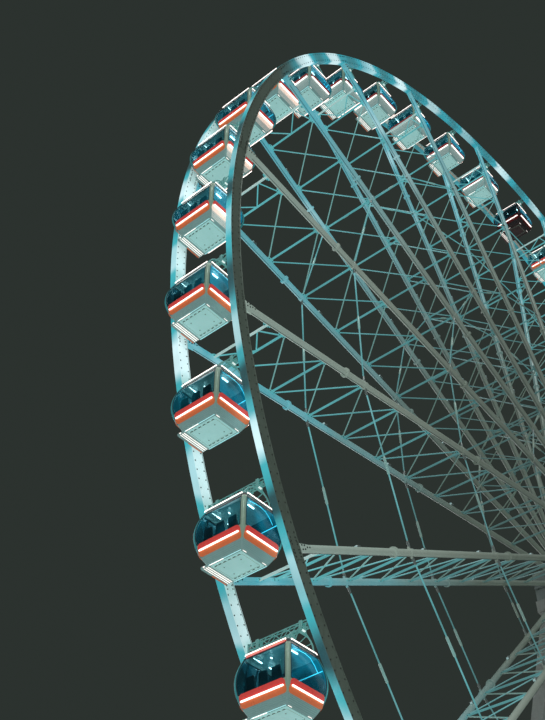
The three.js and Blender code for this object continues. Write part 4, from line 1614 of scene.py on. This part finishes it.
# The stand keeps its solids, with paint of their own, and gets the fittings that are too small for them
stand = {
    "base": 0.2603,
    "beamTop": 0.26,
    "beamsX": (-5.45, -2.5, 2.5, 5.45),
    "beamsY": (-2.85, -0.7, 0.7, 2.85),
    "legFoot": (5.0, 2.85, 0.2603),
    "legHead": (0.19, 1.3, 15.4597),
    "legHalf": 0.15,
    "legJoints": (0.26, 0.52, 0.78),     # shares of the leg's length
    "tieHeight": 8.0,
    "bearingMiddle": 1.3,
    "headTop": 15.6097,
    "deckTop": 1.03,
    "deckHalf": (2.4, 2.95),
    "deckPosts": (-2.25, 0.0, 2.25),
}
standFinishes = {
    "near_a_frame": "standPaint", "far_a_frame": "standPaint", "near_bearing": "hubPaint", "far_bearing": "hubPaint",
    "base_frame": "standPaint", "boarding_deck": "deckTread", "near_rail": "standPaint", "far_rail": "standPaint",
    "entry_steps": "deckTread", "exit_steps": "deckTread",
}
for node, finish in standFinishes.items():
    for slot in frame["nodes"][node].material_slots:
        slot.material = finishes[finish]
hexHead = boltShape("stand", (0, 0, 0), (0, 0, 1))


def standPlate(outline, normal, thickness):
    return plateShape(outline, normal, thickness, "standPaint")


def standRod(path, radius, sides=8):
    return rodShape(path, radius, sides, "standPaint")


def paintedBlock(size, middle, cut=0.003):
    return blockShape(size, middle, "standPaint", cut)


def steelBlock(size, middle, cut):
    return blockShape(size, middle, "clampSteel", cut)


def boltSquare(middle, half):
    # four bolts on top of a plate
    x, y, z = middle
    return [((x + dx, y + dy, z), (0, 0, 1)) for dx in (-half, half) for dy in (-half, half)]


# Fittings of a leg: the joint's plates, bolts and ribs, the foot's gussets, and the tie's end plate
leg = {
    "jointSize": (0.42, 0.42, 0.022),
    "jointBolts": (-0.18, -0.06, 0.06, 0.18),
    "rib": ((0.148, 0.022), (0.205, 0.022), (0.148, 0.16)),
    "ribThickness": 0.014,
    "gussets": (-0.07, 0.07),
    "gussetFoot": 0.299,
    "gussetTop": 0.52,
    "footBolts": (-0.115, 0.0, 0.115),
    "tiePlate": (0.020, 0.32, 0.32),
    "tieBolts": ((-0.13, -0.13), (-0.13, 0.13), (0.13, -0.13), (0.13, 0.13), (0, 0.13), (0, -0.13)),
}


def legPoint(share, sideX, side):
    foot, head = stand["legFoot"], stand["legHead"]
    place = [foot[axis] + (head[axis] - foot[axis]) * share for axis in range(3)]
    return Vector((sideX * place[0], side * place[1], place[2]))


def legPlace(share, sideX, side):
    # the leg's own place at a share of its length: Z runs up the leg, and Y lies across it
    along = (legPoint(1, sideX, side) - legPoint(0, sideX, side)).normalized()
    across = (Vector((0, 1, 0)) - along * along.y).normalized()
    turn = Matrix((across.cross(along), across, along)).transposed().to_4x4()
    return Matrix.Translation(legPoint(share, sideX, side)) @ turn


def legShapes(sideX, side, bolts):
    for share in stand["legJoints"]:
        place = legPlace(share, sideX, side)
        for way in ways:
            yield movedShape(paintedBlock(leg["jointSize"], (0, 0, way * 0.0115)), place)
            # the bolts stand outside the leg's own section
            bolts += [(place @ Vector((x, y, way * 0.0225)), place.to_3x3() @ Vector((0, 0, way)))
                      for x in leg["jointBolts"] for y in leg["jointBolts"] if max(abs(x), abs(y)) > 0.1]
        for way in ways:
            flat = [(way * x, 0, z) for x, z in leg["rib"]]
            turned = [(0, way * x, z) for x, z in leg["rib"]]
            for rib, normal in ((flat, (0, 1, 0)), (turned, (1, 0, 0))):
                yield movedShape(standPlate(rib, normal, leg["ribThickness"]), place)
    foot, low = legPoint(0, sideX, side), leg["gussetFoot"]
    for way in ways:
        inner = foot.x + way * 0.14
        for y in leg["gussets"]:
            yield standPlate([(inner, foot.y + y, low), (foot.x + way * 0.29, foot.y + y, low),
                              (inner - sideX * 0.07, foot.y + y, leg["gussetTop"])], (0, 1, 0), 0.016)
        bolts += [((foot.x + way * 0.26, foot.y + y, 0.3003), (0, 0, 1)) for y in leg["footBolts"]]
    share = (stand["tieHeight"] - foot.z) / (legPoint(1, sideX, side).z - foot.z)
    tie = legPoint(share, sideX, side) - Vector((sideX * 0.19, 0, 0))
    yield paintedBlock(leg["tiePlate"], tie)
    bolts += [(tie + Vector((-sideX * 0.010, y, z)), (-sideX, 0, 0)) for y, z in leg["tieBolts"]]


# The ladder, in the leg's own place
ladder = {"low": 0.035, "high": 0.965, "half": 0.12, "standOff": 0.085, "rungPitch": 0.15, "brackets": 9}


def ladderMesh():
    # a ladder up the outside of one leg of the near side
    low, high = legPlace(ladder["low"], 1, -1), legPlace(ladder["high"], 1, -1)
    way = 1 if (low.to_3x3() @ Vector((1, 0, 0))).x > 0 else -1
    half, reach = ladder["half"], way * (stand["legHalf"] + ladder["standOff"])
    rails = [standRod([end @ Vector((reach, y, 0)) for end in (low, high)], 0.014) for y in (-half, half)]
    for part in steps(0.05, 0.95, ladder["brackets"] - 1):
        rails += [movedShape(paintedBlock((0.10, 0.02, 0.02), (way * (stand["legHalf"] + 0.045), y, 0)),
                             legPlace(part, 1, -1)) for y in (-half, half)]
    length = (high.translation - low.translation).length
    count = int(length / ladder["rungPitch"])
    across = low.to_3x3() @ Vector((0, 1, 0))
    rungs = [(low @ Vector((reach, 0, length * (step + 0.5) / count)), across) for step in range(count)]
    rung = standRod([(0, 0, -half), (0, 0, half)], 0.008, 6)
    return [meshFrom("rails", rails), studsAt(rungs, [rung], "standPaint")]


# Bearings: places from the shaft's middle line and the bearing's middle
bearings = {
    "splitX": 0.384,
    "lugX": 0.415,
    "lugBolts": (0.420, 0.11, 0.0725),
    "footBolts": (0.405, (-0.18, 0.0, 0.18)),
    "seal": (0.170, 0.245, 0.026),       # inner and outer radius, and thickness
    "sealFace": (1.519, 1.545),
    "sealBolts": 12,
    "sealBoltRadius": 0.208,
    "eye": (0.018, 0.034, 0.012),
}


def ringShape(inner, outer, thickness, middle, axis, sides, finish):
    corners, faces, _ = latheShape([(inner, 0), (outer, 0), (outer, thickness), (inner, thickness)], middle, axis,
                                   sides, finish)
    last = 3 * sides
    closing = [(last + side, last + (side + 1) % sides, (side + 1) % sides, side) for side in range(sides)]
    return corners, faces[:-2] + closing, finish


def bearingShapes(side, bolts):
    # the cap's split line and lugs, the outer seal ring, and the bolts down to the head block
    y, middle = side * stand["bearingMiddle"], hubCentre.z
    boltX, boltY, boltZ = bearings["lugBolts"]
    footX, footPlaces = bearings["footBolts"]
    for x in ways:
        yield steelBlock((0.012, 0.44, 0.030), (x * bearings["splitX"], y, middle), 0.002)
        for z in (-0.045, 0.045):
            yield blockShape((0.075, 0.34, 0.055), (x * bearings["lugX"], y, middle + z), "hubPaint", 0.006)
        bolts += [((x * boltX, y + across, middle + up * boltZ), (0, 0, up))
                  for across in (-boltY, boltY) for up in (1, -1)]
        bolts += [((x * footX, y + across, stand["headTop"]), (0, 0, 1)) for across in footPlaces]
        for out in ways:
            yield steelBlock((0.12, 0.012, 0.030), (x * 0.32, y + out * 0.224, middle), 0.002)
    near, far = bearings["sealFace"]
    yield ringShape(*bearings["seal"], (0, side * near, middle), (0, side, 0), 40, "clampSteel")
    radius = bearings["sealBoltRadius"]
    bolts += [((radius * math.cos(turn), side * far, middle + radius * math.sin(turn)), (0, side, 0))
              for turn in steps(0, 2 * math.pi, bearings["sealBolts"])[:-1]]
    yield ringShape(*bearings["eye"], (0.0, y, middle + 0.43), (0, side, 0), 16, "clampSteel")
    yield steelBlock((0.024, 0.016, 0.020), (0, y + side * 0.006, middle + 0.397), 0.003)


# Base frame: a stiffener's outline inside a beam, as depth from the beam's web and height
baseFrame = {
    "stiffener": ((0.062, 0.02), (0.0, 0.02), (0.0, 0.10), (0.062, 0.24)),
    "stiffenerPitch": 0.72,
    "webs": (5.24, 2.64),        # along X and along Y
    "endStiffeners": (-2.2, -1.6, 0.0, 1.6, 2.2),
    "liftingEyes": (-2.0, 2.0),
}


def baseShapes(bolts):
    # gusset plates where the beams cross, stiffeners inside the outer beams, and lifting eyes
    webX, webY = baseFrame["webs"]
    top = stand["beamTop"]
    for x in stand["beamsX"]:
        for y in stand["beamsY"]:
            yield paintedBlock((0.25, 0.25, 0.012), (x, y, top + 0.005))
            bolts += boltSquare((x, y, top + 0.011), 0.09)
    for place in range(-7, 8):
        x = place * baseFrame["stiffenerPitch"]
        if min(abs(x - beam) for beam in (*stand["beamsX"], 0.0)) > 0.17:
            for side in ways:
                yield standPlate([(x, side * (webY + depth), z) for depth, z in baseFrame["stiffener"]], (1, 0, 0),
                                 0.014)
    for x in ways:
        for y in baseFrame["endStiffeners"]:
            yield standPlate([(x * (webX + depth), y, z) for depth, z in baseFrame["stiffener"]], (0, 1, 0), 0.014)
        for y in baseFrame["liftingEyes"]:
            middle = x * stand["beamsX"][-1]
            yield ringShape(0.028, 0.052, 0.018, (middle, y - 0.009, 0.305), (0, 1, 0), 16, "clampSteel")
            yield steelBlock((0.13, 0.07, 0.014), (middle, y, 0.264), 0.003)


# Boarding deck: joints along X, joists along Y, and rows of anti-slip ribs
deck = {
    "joints": (-1.8, -1.2, -0.6, 0.0, 0.6, 1.2, 1.8),
    "joists": (-2.3, -1.75, -1.2, 0.0, 1.2, 1.75, 2.3),
    "braceRun": 0.75,
    "ribRows": (-2.65, -2.25, -1.85, -1.45, -1.05, 1.05, 1.45, 1.85, 2.25, 2.65),
    "ribPitch": 0.075,
    "ribColumns": 61,
}


def deckShapes(bolts):
    # joints between the plates, an angle round the edge, joists under them, and braces
    top = stand["deckTop"]
    halfX, halfY = stand["deckHalf"]
    posts = stand["deckPosts"]
    for x in deck["joints"]:
        yield steelBlock((0.008, 2 * halfY - 0.10, 0.004), (x, 0, top + 0.001), 0.001)
    for way in ways:
        yield paintedBlock((2 * halfX, 0.05, 0.012), (0, way * (halfY - 0.025), top + 0.003))
        yield paintedBlock((0.05, 2 * halfY - 0.10, 0.012), (way * (halfX - 0.025), 0, top + 0.003))
        yield paintedBlock((2 * halfX - 0.1, 0.012, 0.10), (0, way * (halfY - 0.008), top - 0.108))
    for y in deck["joists"]:
        yield paintedBlock((2 * halfX - 0.1, 0.05, 0.09), (0, y, top - 0.106), 0.004)
    for x in posts:
        yield paintedBlock((0.07, 2 * halfY - 0.1, 0.11), (x, 0, top - 0.20), 0.004)
    for x, way in ((posts[0], 1), (posts[-1], -1)):
        for y in stand["beamsY"]:
            yield standRod([(x, y + 0.07, 0.30), (x + way * deck["braceRun"], y + 0.07, top - 0.12)], 0.016)
    for x in posts:
        for y in stand["beamsY"]:
            yield paintedBlock((0.20, 0.20, 0.012), (x, y, stand["base"] + 0.006))
            bolts += boltSquare((x, y, stand["base"] + 0.012), 0.08)


def deckRibs():
    ribs = [((stand["deckPosts"][0] + deck["ribPitch"] * column, y, stand["deckTop"]), (0, 0, 1))
            for column in range(deck["ribColumns"]) for y in deck["ribRows"]]
    return studsAt(ribs, [steelBlock((0.012, 0.26, 0.004), (0, 0, 0.001), 0.0012)], "clampSteel")


# Railings: heights above the deck
railing = {
    "bars": (0.125, 0.47),
    "toeBoard": 0.055,
    "postPitch": 1.6,
    "boltPlaces": ((-0.036, -0.036), (0.036, 0.036), (-0.036, 0.036), (0.036, -0.036)),
    "picket": 0.345,
    "picketPitch": 0.14,
    "inset": 0.06,
}


def railMesh(points):
    # mid rails, a toe board, flanges under the posts and thin pickets
    foot = stand["deckTop"] + 0.0003
    shapes, pickets = [], []
    for start, end in zip(points, points[1:]):
        start, end = Vector((*start, 0)), Vector((*end, 0))
        length = (end - start).length
        along = (end - start).normalized()
        for z in railing["bars"]:
            up = Vector((0, 0, foot + z))
            shapes.append(standRod([start + up, end + up], 0.010))
        middle = (start + end) / 2 + Vector((0, 0, foot + railing["toeBoard"]))
        shapes.append(paintedBlock((abs(along.x) * length + 0.006, abs(along.y) * length + 0.006, 0.09), middle, 0.002))
        spans = max(1, round(length / railing["postPitch"]))
        for post in range(spans + 1):
            place = start.lerp(end, post / spans) + Vector((0, 0, foot + 0.004))
            shapes.append(paintedBlock((0.10, 0.10, 0.010), place, 0.002))
            shapes += [movedShape(hexHead, Matrix.Translation(place + Vector((dx, dy, 0.003))) @ Matrix.Scale(0.5, 4))
                       for dx, dy in railing["boltPlaces"]]
        count = int(length / railing["picketPitch"])
        pickets += [(start + along * (length * (step + 0.5) / count) + Vector((0, 0, foot + railing["bars"][0])),
                     (0, 0, 1)) for step in range(count)]
    picket = standRod([(0, 0, 0), (0, 0, railing["picket"])], 0.006, 6)
    return [meshFrom("rails", shapes), studsAt(pickets, [picket], "standPaint")]


# Steps: going and count from the foot, places of the ribs behind the nosing, and the handrail's heights
stair = {
    "foot": 3.9603,
    "going": 0.13,
    "count": 12,
    "middle": 1.45,
    "ribs": (0.050, 0.078, 0.106),
    "stringer": 0.492,
    "handrail": (0.52, 0.50),
    "endDrop": 0.40,
    "midDrop": 0.24,
    "posts": (0.0, 0.33, 0.67, 1.0),
}


def stairShapes(side):
    # nosings and ribs on the treads, a stringer on each side, and handrails
    rise, going, foot, top = stand["deckTop"] / stair["count"], stair["going"], stair["foot"], stand["deckTop"]
    for step in range(stair["count"]):
        x, z = foot - going * step, rise * (step + 1)
        yield paintedBlock((0.024, 0.96, 0.006), (side * (x - 0.013), stair["middle"], z + 0.001), 0.002)
        for inset in stair["ribs"]:
            yield steelBlock((0.008, 0.92, 0.005), (side * (x - inset), stair["middle"], z + 0.001), 0.001)
    landing = foot - going * stair["count"]
    outline = ((foot - 0.002, 0.004), (foot - 0.16, 0.004), (landing + 0.003, top - 0.22),
               (landing + 0.003, top + 0.004), (landing + 0.09, top + 0.004), (foot - 0.002, 0.10))
    lowRail, highRail = stair["handrail"]
    drop, midDrop = Vector((0, 0, stair["endDrop"])), Vector((0, 0, stair["midDrop"]))
    for across in ways:
        y = stair["middle"] + across * stair["stringer"]
        yield standPlate([(side * x, y, z) for x, z in outline], (0, 1, 0), 0.014)
        start = Vector((side * (foot - 0.05), y, rise + lowRail))
        end = Vector((side * (landing + 0.03), y, top + highRail))
        yield standRod([start - drop, start, end, end - drop], 0.014)
        yield standRod([start - midDrop, end - midDrop], 0.009, 6)
        for share in stair["posts"]:
            place = start.lerp(end, share)
            yield standRod([place, place - Vector((0, 0, 0.56 if share else 0.50))], 0.012)


def addFittings(name, mesh, slot="stand_steel"):
    addPiece(name, mesh, "stand", slot)


def addStand():
    bolts = []
    for side, word in ((-1, "near"), (1, "far")):
        shapes = [shape for sideX in ways for shape in legShapes(sideX, side, bolts)]
        addFittings(f"{word}LegFittings", joinMeshes([meshFrom("legs", shapes)] + (ladderMesh() if side < 0 else [])))
        addFittings(f"{word}BearingFittings", meshFrom("bearing", bearingShapes(side, bolts)))
    addFittings("baseFittings", meshFrom("base", baseShapes(bolts)))
    addFittings("deckFittings", meshFrom("deck", deckShapes(bolts)))
    addFittings("deckRibs", deckRibs(), "deck_plate")
    edgeX, edgeY = (half - railing["inset"] for half in stand["deckHalf"])
    # the railings stop at the cabin that boards and at the steps
    for word, side, end in (("near", -1, 0.7), ("far", 1, 2.01)):
        corners = [(-edgeX, side * end), (-edgeX, side * edgeY), (edgeX, side * edgeY), (edgeX, side * end)]
        addFittings(f"{word}RailFittings", joinMeshes(railMesh(corners)))
    for word, side in (("entry", -1), ("exit", 1)):
        addFittings(f"{word}StepFittings", meshFrom("steps", stairShapes(side)))
    addFittings("standBolts", studsAt(bolts, [hexHead], "boltHead"), "bolt_steel")
    print("stand made")


addStand()

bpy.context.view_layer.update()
triangles = sum(len(face.vertices) - 2 for piece in bpy.data.objects if piece.type == "MESH"
                for face in piece.data.polygons)
print("triangles in all:", triangles)
